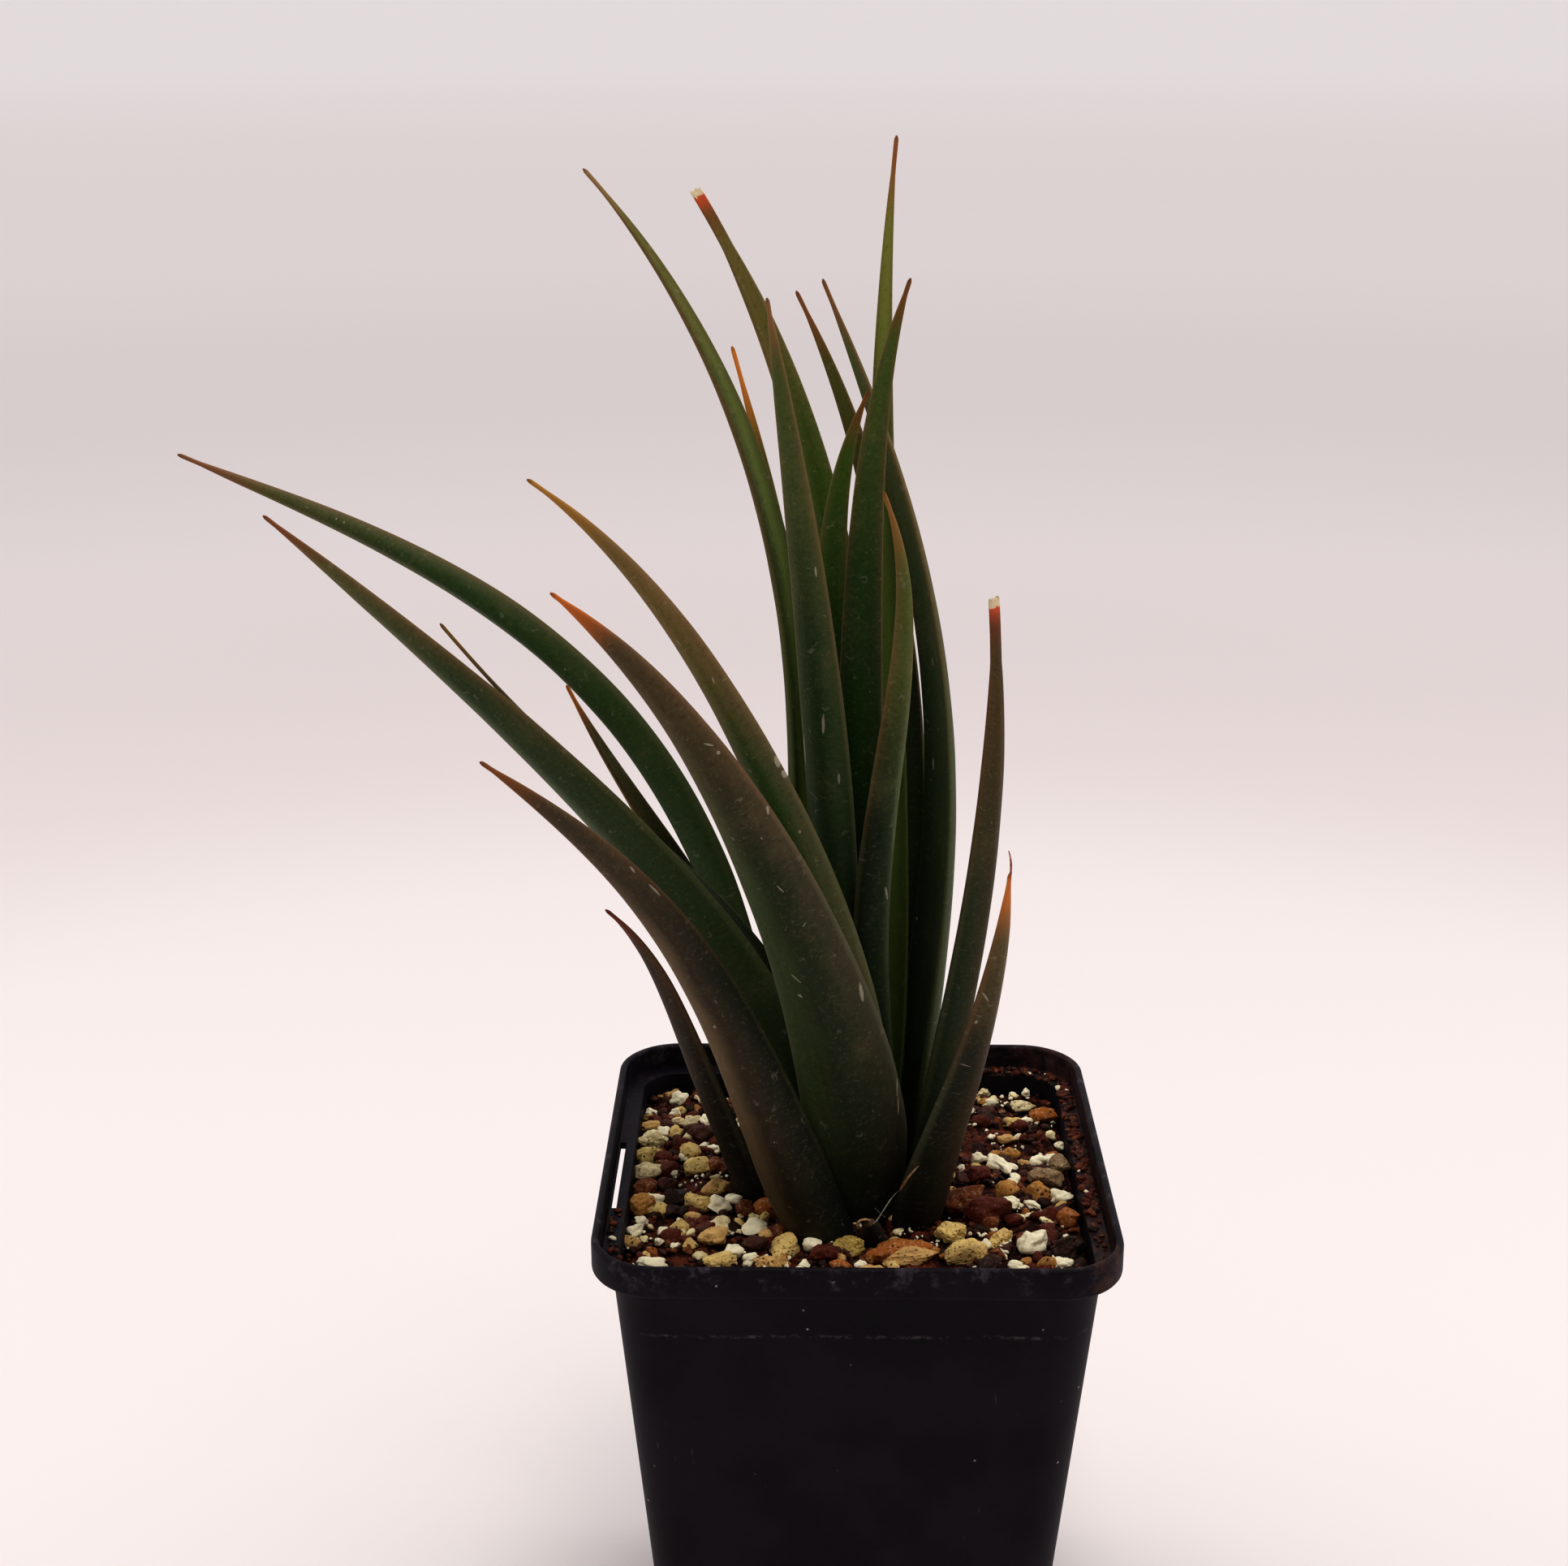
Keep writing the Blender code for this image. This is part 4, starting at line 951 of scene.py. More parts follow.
def scatter(heap, count, sizes, kinds, detail, seed, lift=0.05, clumping=0.0):
    """Lays grains on the bed, kept off the pot's wall, and gathered in patches if clumping."""
    grain_rng = random.Random(seed)
    placed = 0
    while placed < count:
        x, y = (grain_rng.uniform(-SCATTER_REACH, SCATTER_REACH) for _ in range(2))
        size = grain_rng.uniform(*sizes)
        wall = bed_reach(math.atan2(y, x), SOIL_LEVEL)
        from_heart = math.hypot(x - AXIS.x, y - AXIS.y)
        if math.hypot(x, y) > wall - size / 2 or from_heart < HEART_CLEARANCE:
            continue
        drift = noise.noise(Vector((x, y, seed)) / DRIFT_SIZE)
        if drift < clumping * grain_rng.uniform(-0.2, 1.0):
            continue
        kind = grain_rng.choice(kinds)
        shape = stone_shape(detail, grain_rng, kind)
        proportions = (size, size * grain_rng.uniform(0.6, 0.95), size * grain_rng.uniform(0.5, 0.85))
        middle = (x, y, soil_height(x, y) + size * lift)
        turned = turn_and_place(shape, proportions, grain_rng.uniform(0, math.tau),
                                grain_rng.uniform(-0.6, 0.6), middle)
        heap.add(turned, detail, STONE_PAINT[kind], grain_rng.uniform(0.0, 0.9))
        placed += 1


SMALL_POROUS = ("tan", "yellow", "ochre", "orange", "brown", "cream")
scatter(crumbs, 1400, (0.5, 1.6), ("red", "purple", "dark", "dark", "brown"), 2, 21)
scatter(crumbs, 700, (0.3, 0.8), ("red", "brown", "dark", "dark"), 2, 22, lift=0.25)
scatter(porous, 150, (1.0, 2.3), SMALL_POROUS, 3, 23, lift=0.12)
scatter(dark, 170, (1.4, 3.4), LAVA + ("red",), 3, 24, lift=0.05)
scatter(pale, 150, (0.9, 1.9), ("white", "white", "cream"), 3, 25, lift=0.2, clumping=0.3)
scatter(pale, 420, (0.25, 0.8), ("white",), 2, 26, lift=0.35, clumping=0.3)
print("points in the heaps:", [heap.count for heap in (crumbs, porous, dark, pale)])

# %% [markdown]
# Watering has washed peat crumbs onto the pot's ledge. They lie thick along the right side and
# the back right corner and thin at the front left, and they hide the slot on the right, so a
# row of flat dark crumbs is laid over it. With these the heaps are full and become pieces.

# %% Leave crumbs on the ledge
def along_ledge(share, reach):
    """A point on the ledge: share 0 starts at the middle of the right side, anticlockwise."""
    angle = share * math.tau
    far = square_reach(angle, reach, POT_CORNER - COLLAR_WALL)
    return far * math.cos(angle), far * math.sin(angle)


LEDGE_DRIFTS = (
    (-0.12, -0.05, 26), (-0.06, 0.11, 170), (0.10, 0.20, 130), (0.56, 0.62, 12), (0.60, 0.66, 16)
)
LEDGE_KINDS = ("red",) * 6 + ("brown",) * 3 + ("dark",) * 4 + ("purple",) * 3 + ("white",)
SLOT_COVER = (SLOT_MIDDLE_Y - 10.0, SLOT_MIDDLE_Y + 9.0, 0.6)

ledge_rng = random.Random(31)
for start, end, count in LEDGE_DRIFTS:
    for _ in range(count):
        size = ledge_rng.uniform(0.4, 1.5)
        share = ledge_rng.uniform(start, end)
        x, y = along_ledge(share, ledge_rng.uniform(31.6, 33.6 - size / 3))
        kind = ledge_rng.choice(LEDGE_KINDS)
        shape = stone_shape(2, ledge_rng, kind)
        middle = (x, y, LEDGE_HEIGHT + size * 0.22)
        turn = ledge_rng.uniform(0, math.tau)
        turned = turn_and_place(shape, (size, size * 0.7, size * 0.55), turn, 0.0, middle)
        heap = pale if kind == "white" else crumbs
        heap.add(turned, 2, STONE_PAINT[kind], ledge_rng.uniform(0.0, 0.9))
for y in np.arange(*SLOT_COVER):
    size = ledge_rng.uniform(0.9, 1.9)
    kind = ledge_rng.choice(("dark", "dark", "purple", "dark", "red"))
    x = SLOT_REACH + ledge_rng.uniform(-0.3, 0.3)
    place = (x, y, LEDGE_HEIGHT + ledge_rng.uniform(-0.2, 0.1))
    shape = stone_shape(2, ledge_rng, kind) * (ledge_rng.uniform(1.3, 1.8), size, size * 0.5)
    crumbs.add(shape + place, 2, STONE_PAINT[kind], ledge_rng.uniform(0.0, 0.9))
crumbs.piece("peat_crumbs", lava_finish)
porous.piece("pumice_and_clay_grit", pumice_finish)
dark.piece("lava_grit", lava_finish)
pale.piece("perlite", perlite_finish)

# %% [markdown]
# ## Leaves
#
# Each leaf is a thick blade, hollow on the side that faces the heart and keeled on the other.
# It widens from the foot, narrows to a horny point and leans away from the rosette's axis. The
# CAD leaf could be subdivided, but that would blur its margins. The table repeats the CAD's own
# numbers instead, so a fine blade can be swept anew along the same line. What is added is what
# a cast of the real leaf would show: rounded margins, a softer keel, slight swellings along
# the blade, a blunt point, and a ragged end on the two leaves whose tips have dried.

# %% List the leaves
LEAF_FOOT = 69.0
LEAF_RINGS = 150
TIP_FULLNESS = 0.8
HALF_AROUND = 18
MARGIN_ALLOWANCE = 1.03
ROUND_TIP = 0.7
SWELLING = 0.03
RIPPLE = 0.08


@dataclass
class Leaf:
    """Its foot as an angle and a distance from the axis, then points up to the tip."""

    foot_turn: float
    foot_reach: float
    points: list
    width: float
    thickness: float
    tip_turn: float
    fullness: float
    foot_width: float = 0.6
    heart_turn: float = None
    tip_width: float = 0.6
    tip_thickness: float = 0.5


LEAVES = {
    "leaf_left_high": Leaf(
        157, 10.5, [(-21.5, 11, 120), (-40, 12, 146.5), (-67.5, 15, 164.5), (-93, 18, 175)],
        width=8.2, thickness=4.4, tip_turn=245, fullness=1.35, foot_width=0.5,
    ),
    "leaf_left_low": Leaf(
        228, 8.5, [(-20, -7.5, 113.5), (-38.5, -7.5, 136.5), (-58.5, -9, 157), (-75.5, -10, 172.5)],
        width=12.6, thickness=3.0, tip_turn=224, fullness=1.2, foot_width=0.45,
    ),
    "leaf_left_slim": Leaf(
        145, 8.0, [(-16.5, 1.5, 112), (-27, -1, 125), (-39.5, -2, 138.5), (-55, -2, 156.5)],
        width=4.6, thickness=1.8, tip_turn=190, fullness=1.25,
    ),
    "leaf_left_inner": Leaf(
        132, 11.5, [(-20, 13.5, 107), (-25, 13.5, 116.5), (-32, 14.5, 128), (-40.5, 16, 143)],
        width=6.2, thickness=1.8, tip_turn=145, fullness=1.4,
    ),
    "leaf_left_short": Leaf(
        191, 13.0, [(-17.5, -4, 82.5), (-22, -6, 95.5), (-27, -8, 109.5), (-33.5, -10, 119.5)],
        width=8.2, thickness=2.8, tip_turn=214, fullness=1.4, foot_width=0.95,
    ),
    "leaf_front_left": Leaf(
        268, 15.3, [(-10.5, -16.8, 89), (-18.5, -18.5, 109.5), (-30.5, -23, 129.5), (-47, -27, 145.5)],
        width=9.5, thickness=3.4, tip_turn=264, fullness=1.15, foot_width=0.8,
    ),
    "leaf_front_broad": Leaf(
        284, 10.2, [(-1.5, -15.5, 98), (-10.8, -21, 127), (-23, -25, 150.5), (-37.5, -29, 167.3)],
        width=14.2, thickness=4.6, tip_turn=250, fullness=1.1,
    ),
    "leaf_front_arched": Leaf(
        268, 7.5, [(-5.5, -12, 121), (-15.2, -15, 145.3), (-25.5, -17, 163), (-41, -19, 179)],
        width=8.4, thickness=3.2, tip_turn=242, fullness=1.35, foot_width=0.5,
    ),
    "leaf_front_upright": Leaf(
        326, 6.0, [(2.5, -7.5, 117.5), (4.5, -10.5, 143.5), (5.5, -12, 161), (2.5, -13.5, 176.5)],
        width=7.0, thickness=2.6, tip_turn=300, fullness=1.6,
    ),
    "leaf_right_short": Leaf(
        323, 13.5, [(12, -13, 85.5), (15, -16, 98.5), (17.6, -19, 113), (19, -21, 129)],
        width=11.6, thickness=3.4, tip_turn=320, fullness=1.0, foot_width=0.75,
    ),
    "leaf_right_cut": Leaf(
        345, 10.5, [(12.9, -4.5, 94.5), (16.3, -6.2, 117), (17.8, -8, 143), (17, -9, 161.5)],
        width=7.4, thickness=2.8, tip_turn=310, fullness=1.6, foot_width=0.7,
        tip_width=1.8, tip_thickness=0.6,
    ),
    "leaf_right_tall": Leaf(
        19, 10.0, [(11.5, 4.8, 112), (11.9, 5.3, 136.5), (5.2, 8, 173), (-5, 12, 199.5)],
        width=8.4, thickness=3.0, tip_turn=35, fullness=1.35,
    ),
    "leaf_back_right": Leaf(
        54, 10.5, [(7, 13, 109.5), (7, 13.5, 139.5), (1, 17, 173.5), (-8.5, 20, 197)],
        width=7.2, thickness=2.6, tip_turn=72, fullness=1.45,
    ),
    "leaf_back_tallest": Leaf(
        41, 6.0, [(5, 7, 112), (4, 9.5, 144.5), (3, 12, 186), (4.5, 15, 217.5)],
        width=7.3, thickness=2.4, tip_turn=95, fullness=1.1,
    ),
    "leaf_back_cut": Leaf(
        91, 11.0, [(-0.5, 12.5, 110), (-2, 15, 151), (-9.3, 20, 183), (-22, 25, 209.5)],
        width=7.5, thickness=2.6, tip_turn=111, fullness=2.1,
        tip_width=1.6, tip_thickness=0.6,
    ),
    "leaf_back_slim": Leaf(
        102, 8.5, [(-7, 8, 115), (-8, 9, 144.5), (-12.5, 12, 173), (-17, 13.5, 190.5)],
        width=6.0, thickness=2.2, tip_turn=125, fullness=1.3,
    ),
    "leaf_back_left_tall": Leaf(
        154, 5.5, [(-7.9, 2, 123.5), (-10.3, 7, 159.5), (-19.3, 9, 188.5), (-36, 11.5, 213.5)],
        width=7.6, thickness=2.7, tip_turn=142, fullness=1.25,
    ),
    "leaf_heart_front": Leaf(
        218, 3.0, [(-3.5, -3.5, 116), (-5.5, -5, 148.5), (-8.5, -7, 175.5), (-12, -8, 199.5)],
        width=8.2, thickness=2.8, tip_turn=250, fullness=1.8,
    ),
    "leaf_heart_right": Leaf(
        0, 2.5, [(0.5, 0, 114.5), (0.5, 0, 152.5), (1.5, 0, 178.5), (6, 0, 201)],
        width=7.2, thickness=2.2, tip_turn=85, fullness=2.2, heart_turn=40,
    ),
    "leaf_heart_left": Leaf(
        106, 3.0, [(-1, 4.5, 114), (-3.5, 4.5, 151.5), (-3, 5, 171), (1, 5, 186)],
        width=7.4, thickness=2.2, tip_turn=95, fullness=2.2,
    ),
    "leaf_stub": Leaf(
        288, 17.0, [(2.5, -17.3, 73), (2.2, -17.9, 76), (1.4, -18.4, 78.3)],
        width=3.9, thickness=2.4, tip_turn=290, fullness=4.0, foot_width=0.85,
    ),
}

print(len(LEAVES) - 1, "leaves and a stub")

# %% [markdown]
# The middle line of a leaf is a smooth curve through its foot and its points. At every place
# along it the blade needs three directions: along, across, and towards the heart of the
# rosette. The last one turns from the foot to the tip, which twists the blade as it grows.

# %% Follow a leaf's middle line
def leaf_widths(leaf, shares):
    """The share of the full width at each place along the leaf."""
    rise = leaf.foot_width + (1 - leaf.foot_width) * np.sin(np.minimum(shares / 0.2, 1.0) * math.pi / 2)
    beyond = np.maximum(0.0, (shares - 0.15) / 0.85)
    return rise * np.maximum(0.0, 1.0 - beyond**leaf.fullness) ** TIP_FULLNESS


def distances(rows):
    """How far each row of points is from the first, along the line through them."""
    return np.concatenate(([0.0], np.cumsum(np.linalg.norm(np.diff(rows, axis=0), axis=1))))


def leaf_frame(leaf, shares):
    """The blade's middle line, with its directions along, across and towards the heart."""
    turn = math.radians(leaf.foot_turn)
    foot_x = AXIS.x + leaf.foot_reach * math.cos(turn)
    foot_y = AXIS.y + leaf.foot_reach * math.sin(turn)
    rows = np.array([(foot_x, foot_y, LEAF_FOOT), *leaf.points], float)
    steps = distances(rows)
    curves = [np.polyfit(steps / steps[-1], rows[:, axis], len(rows) - 1) for axis in range(3)]
    places = np.stack([np.polyval(curve, shares) for curve in curves], axis=1)
    along = unit(np.stack([np.polyval(np.polyder(curve), shares) for curve in curves], axis=1))
    first_turn = leaf.foot_turn if leaf.heart_turn is None else leaf.heart_turn
    facing = np.radians(first_turn + (leaf.tip_turn - first_turn) * np.minimum(1.0, shares * 1.3))
    to_heart = np.stack([-np.cos(facing), -np.sin(facing), np.zeros(len(shares))], axis=1)
    inward = unit(to_heart - along * np.sum(along * to_heart, axis=1, keepdims=True))
    across = np.cross(along, inward)
    upright = smoothstep(0.0, 0.06, shares)[:, None]
    level = np.concatenate([np.ones((len(shares), 2)), upright], axis=1)
    return places, along, unit(across * level), unit(inward * level)


lengths = [distances(leaf_frame(leaf, np.linspace(0.0, 1.0, 50))[0])[-1] for leaf in LEAVES.values()]
print("leaf lengths in mm:", [round(length) for length in lengths])

# %% [markdown]
# Each ring of the blade runs along the inner face from margin to margin and back along the
# outer face. Points lie closer together near the margins, where the blade turns over. Both
# faces bend with the hollow, the outer one rises to the keel, and a faint ripple keeps them
# from looking machined.

# %% Shape a leaf
ACROSS = -np.cos((np.arange(HALF_AROUND) + 0.5) * math.pi / HALF_AROUND)[None, :]


def blade_section(width, thick, shares, ripple):
    """How far the points of each ring lie off the blade's middle line, round both faces."""
    u = ACROSS  # from -1 at one margin to 1 at the other
    margin = np.minimum(0.7, thick * 0.7)
    hollow = (0.10 * (1 - shares) + 0.02) * width
    keel = 0.25 + 0.35 * shares
    soft = np.sqrt(u * u + 0.004) - 0.03
    depth = margin + (thick - margin) * ((1 - keel) * (1 - u * u) ** 0.75 + keel * (1 - soft))
    round_from = 1.0 - np.minimum(0.5, margin / width)
    beyond = np.clip((np.abs(u) - round_from) / (1.0 - round_from), 0.0, 1.0)
    rounding = np.sqrt(1.0 - beyond**2)
    middle = hollow * u * u + thick / 2 - hollow * 0.35 - depth / 2
    inner = middle + depth / 2 * rounding + ripple
    outer = middle - depth / 2 * rounding - ripple
    return np.concatenate([inner, outer[:, ::-1]], axis=1)


def shape_leaf(leaf, seed, torn):
    """The leaf's points ring by ring, and what its finish reads at each of them."""
    shares = 1.0 - (1.0 - np.linspace(0.0, 1.0, LEAF_RINGS)) ** 1.15
    places, along, across, inward = leaf_frame(leaf, shares)
    reach = distances(places)
    part = leaf_widths(leaf, shares)
    swelling = np.array([noise.noise(Vector((mm / 11.0, seed, 0.5))) for mm in reach])
    width = leaf.width * MARGIN_ALLOWANCE * part * (1.0 + SWELLING * swelling)
    width = np.maximum(width, leaf.tip_width)[:, None]
    thick = np.maximum(leaf.thickness * part**0.8, leaf.tip_thickness)[:, None]
    if not torn:
        into_tip = np.clip(1.0 - (reach[-1] - reach) / ROUND_TIP, 0.0, 0.93)
        blunt = np.sqrt(1.0 - into_tip**2)[:, None]
        width, thick = width * blunt, thick * blunt
    waves = [[noise.noise(Vector((side / 2.5, mm / 8.0, seed))) for side in row]
             for row, mm in zip(ACROSS * width / 2, reach)]
    ripple = RIPPLE * np.array(waves) * part[:, None]
    lifts = blade_section(width, thick, shares[:, None], ripple)
    right = np.concatenate([ACROSS, ACROSS[:, ::-1]], axis=1)
    sides = right * width / 2
    points = places[:, None] + across[:, None] * sides[..., None] + inward[:, None] * lifts[..., None]
    if torn:
        rng = random.Random(seed)
        for ring, most in ((-1, 0.7), (-2, 0.2)):
            ragged = np.array([rng.uniform(-0.3, 1.0) * most for _ in range(2 * HALF_AROUND)])
            points[ring] += along[ring] * ragged[:, None] * torn
    # the side colours follow the viewer's left and right because they hold painted light and shade from
    # the lamps on either side
    viewer_right = math.copysign(1.0, across[30:120, 0].mean())
    everywhere = np.ones((LEAF_RINGS, 2 * HALF_AROUND))
    facts = {
        "right": right * viewer_right * everywhere,
        "side": sides * viewer_right,
        "reach": reach[:, None] * everywhere,
        "share": shares[:, None] * everywhere,
        "to_tip": (reach[-1] - reach)[:, None] * everywhere,
        "inner": np.repeat([1.0, 0.0], HALF_AROUND) * everywhere,
    }
    return points, {name: values.reshape(-1) for name, values in facts.items()}


print("a leaf has", LEAF_RINGS * HALF_AROUND * 2, "points")

# %% [markdown]
# ## The skin of the leaves
#
# The skin is dark green and waxy, and the sun has turned the outer leaves bronze along one
# side and browned the margins near the tips; the sides of the upper blade also carry painted
# sheen where the side lamps catch them. Under a lens it is covered in a fine raised grain and
# short pale dashes that lie across the blade. Tips go from olive through russet to a brown
# point, partly painted brighter for light glowing through them, or end in a cream band where
# they were torn, and old knocks have left thin silvery scars. An image could hold all this,
# but patterns laid out in the leaf's own millimetres stay sharp at any distance and bend with
# the blade. Each leaf lists its colours from left to right as the viewer sees them: its own
# colour together with painted light and shade from the lamps on either side.

# %% List the leaf colours
@dataclass
class Look:
    """A leaf's colours, how long its tip is in mm and from which share it ripens. Each scar is
    a place across and up the blade, a half length, a half width and a lean in degrees."""

    slot: str
    left: tuple
    middle: tuple
    right: tuple
    upper: tuple
    tip: tuple
    tip_length: float
    ripens: float = 0.55
    inside: tuple = None
    scars: tuple = ()
    torn: float = 0.0


LOOKS = {
    "leaf_left_high": Look(
        "leaf_bronze_green", (66, 72, 40), (44, 58, 28), (52, 66, 36), (100, 84, 56), (118, 76, 56), 12,
        0.72,
    ),
    "leaf_left_low": Look(
        "leaf_bronze_green", (68, 74, 44), (46, 56, 32), (50, 60, 34), (96, 84, 52), (118, 72, 48), 9,
        0.7,
    ),
    "leaf_left_slim": Look(
        "leaf_dark_green", (52, 56, 32), (36, 40, 24), (44, 48, 28), (66, 62, 36), (120, 88, 56), 9,
        0.55,
    ),
    "leaf_left_inner": Look(
        "leaf_dark_green", (44, 46, 30), (36, 40, 22), (30, 32, 18), (84, 72, 38), (160, 96, 50), 7,
        0.55,
    ),
    "leaf_left_short": Look(
        "leaf_bronze", (88, 72, 58), (62, 49, 41), (40, 31, 27), (62, 48, 40), (104, 54, 42), 7, 0.5,
        inside=(30, 24, 19),
    ),
    "leaf_front_left": Look(
        "leaf_bronze", (94, 74, 58), (56, 44, 35), (32, 34, 26), (70, 56, 45), (118, 70, 42), 9, 0.5,
        scars=((-1.3, 41.5, 0.25, 0.22, 0), (1.7, 67.1, 0.6, 0.12, 4), (2.0, 63.0, 1.1, 0.12, -3)),
    ),
    "leaf_front_broad": Look(
        "leaf_bronze_green", (58, 66, 40), (40, 44, 27), (62, 55, 42), (80, 62, 44), (168, 90, 42), 9,
        0.55,
        scars=(
            (1.9, 82.7, 0.6, 0.12, -37), (2.3, 81.1, 0.25, 0.2, 0), (3.6, 71.0, 0.5, 0.15, 13),
            (1.0, 61.0, 0.7, 0.1, -17), (1.8, 54.9, 0.4, 0.08, 60), (-2.0, 47.5, 0.8, 0.12, -34),
            (-2.3, 44.7, 0.35, 0.15, -47), (5.1, 41.6, 1.4, 0.25, 6), (6.4, 25.2, 1.3, 0.12, 9),
            (6.1, 22.6, 1.4, 0.12, 8),
        ),
    ),
    "leaf_front_arched": Look(
        "leaf_bronze_green", (76, 74, 46), (60, 76, 40), (78, 74, 50), (122, 94, 62), (150, 104, 52),
        12, 0.56,
        scars=(
            (2.6, 74.4, 0.8, 0.18, 0), (2.7, 72.4, 0.5, 0.2, 0), (1.9, 64.5, 0.25, 0.2, 0),
            (-0.7, 74.8, 0.4, 0.12, -43), (0.9, 88.0, 0.5, 0.12, 10), (-0.4, 94.5, 0.6, 0.1, -8),
        ),
    ),
    "leaf_front_upright": Look(
        "leaf_dark_green", (18, 32, 14), (36, 46, 27), (78, 86, 56), (84, 84, 42), (124, 86, 50), 10,
        0.55,
        scars=((0.7, 52.8, 1.2, 0.25, -20), (1.6, 61.0, 0.8, 0.12, 0)),
    ),
    "leaf_right_short": Look(
        "leaf_bronze", (40, 40, 32), (68, 54, 44), (112, 82, 68), (92, 76, 50), (172, 100, 56), 8, 0.55,
        scars=((-2.4, 40.9, 0.3, 0.2, 6), (-1.8, 44.7, 0.9, 0.14, -31), (-2.6, 34.0, 0.8, 0.08, -68)),
    ),
    "leaf_right_cut": Look(
        "leaf_bronze", (50, 56, 40), (62, 52, 36), (56, 44, 30), (78, 58, 36), (180, 78, 52), 3.0, 0.55,
        torn=0.8,
    ),
    "leaf_right_tall": Look(
        "leaf_dark_green", (44, 54, 34), (56, 66, 42), (70, 76, 52), (82, 82, 46), (116, 76, 48), 9,
        0.6,
        scars=((-1.2, 66.3, 0.9, 0.2, 0), (-3.2, 42.8, 0.3, 0.2, -26), (0.4, 81.0, 0.6, 0.14, 4)),
    ),
    "leaf_back_right": Look(
        "leaf_dark_green", (44, 54, 32), (50, 58, 36), (46, 50, 30), (86, 78, 36), (122, 76, 48), 9,
        0.6,
    ),
    "leaf_back_tallest": Look(
        "leaf_fresh_green", (68, 88, 30), (94, 104, 54), (74, 84, 42), (116, 106, 54), (130, 80, 52), 9,
        0.65,
    ),
    "leaf_back_cut": Look(
        "leaf_bronze_green", (80, 86, 42), (58, 74, 26), (72, 88, 40), (104, 84, 48), (170, 74, 46),
        3.0, 0.65, torn=0.8,
    ),
    "leaf_back_slim": Look(
        "leaf_bronze_green", (54, 60, 26), (62, 68, 28), (58, 60, 22), (100, 84, 32), (182, 108, 50),
        12, 0.6,
    ),
    "leaf_back_left_tall": Look(
        "leaf_dark_green", (52, 64, 28), (88, 94, 48), (66, 72, 32), (94, 82, 40), (126, 94, 66), 8,
        0.65,
    ),
    "leaf_heart_front": Look(
        "leaf_fresh_green", (46, 56, 30), (38, 50, 28), (54, 66, 40), (78, 80, 44), (122, 86, 60), 8,
        0.6,
        scars=(
            (1.0, 75.4, 1.4, 0.2, 3), (2.4, 67.6, 0.9, 0.16, 0), (-2.7, 71.0, 2.2, 0.16, 2),
            (-3.0, 84.0, 5.0, 0.14, 0), (1.6, 96.0, 0.7, 0.14, 0),
        ),
    ),
    "leaf_heart_right": Look(
        "leaf_fresh_green", (32, 52, 18), (38, 58, 22), (40, 54, 24), (74, 80, 36), (108, 70, 40), 7,
        0.65,
    ),
    "leaf_heart_left": Look(
        "leaf_fresh_green", (50, 70, 24), (40, 58, 20), (54, 78, 30), (72, 88, 34), (116, 72, 42), 7,
        0.65,
    ),
    "leaf_stub": Look(
        "leaf_dry", (34, 24, 18), (14, 10, 8), (36, 32, 26), (30, 20, 14), (110, 84, 60), 0.8,
    ),
}
LIGHTER = (1.40, 1.60, 1.42)
FOOT_SHADE = paint(12, 15, 11)
PALE_GRAIN = paint(128, 118, 92)
SUN_BROWN_AND_SHEEN = paint(126, 98, 70)
SCORCHED = paint(134, 66, 44)
PALE_SCAR = paint(196, 188, 170)
HORN = paint(96, 56, 36)
print(sum(len(look.scars) for look in LOOKS.values()), "scars are placed one by one")

# %% [markdown]
# The finish reads what was stored on the blade: how far right and how far up a point lies,
# and how far it is from the tip. First come the marks that break the skin: dashes, fine
# threads, dots, scratches and the listed scars. They are masks, so they can tint the colour,
# roughen the gloss and dent the surface all at once.

# %% Mark the skin
def add_scars(marks, side, reach, fine, scars):
    """Adds frayed ovals to a mask, at their places on the blade and each with its own lean."""
    for across, up, long, wide, lean in scars:
        dx, dy = side - across, reach - up
        cosine, sine = math.cos(math.radians(lean)), math.sin(math.radians(lean))
        off, on = (dx * cosine - dy * sine) / wide, (dy * cosine + dx * sine) / long
        scar = (off * off + on * on + (fine - 0.5) * 2.4).rise(1.2, 0.5)
        marks = marks.maths("MAXIMUM", scar)
    return marks


def skin_marks(finish, side, reach, seed, fine, scars):
    """Masks for dashes, threads, dots, and for scratches and scars together."""
    blade = finish.vector(side, reach, seed)
    dashes = finish.cells(finish.vector(side * 1.1, reach * 2.3, seed), 0.9).rise(0.24, 0.10)
    dashes = dashes * finish.clouds(blade, 3.0).rise(0.42, 0.62)
    threads = abs(finish.clouds(blade, 1.6, 1.0) - 0.5).rise(0.045, 0.018)
    patches = finish.clouds(finish.vector(side, reach, seed + 20.0), 1.6)
    threads = threads * patches.rise(0.58, 0.70)
    dots = finish.cells(finish.vector(side, reach, seed + 60.0), 2.4).rise(0.06, 0.03)
    dots = dots * finish.clouds(blade, 5.0).rise(0.54, 0.66)
    stretched = finish.vector(side * 1.6, reach * 0.6, seed + 40.0)
    scratches = finish.clouds(stretched, 1.1, 2.0).rise(0.735, 0.775)
    scratches = scratches * finish.clouds(blade, 12.0).rise(0.48, 0.6) * 0.8
    return dashes, threads, dots, add_scars(scratches, side, reach, fine, scars)


print("a leaf's skin takes five kinds of mark")

# %% [markdown]
# The colour is then built in thin coats, as a painter would: the broad green and bronze first,
# which also hold painted light and shade on either side, the ripe top over it, then bronze and
# painted sheen on the upper sides, grain, painted shade near the foot and marks, and the tip last.

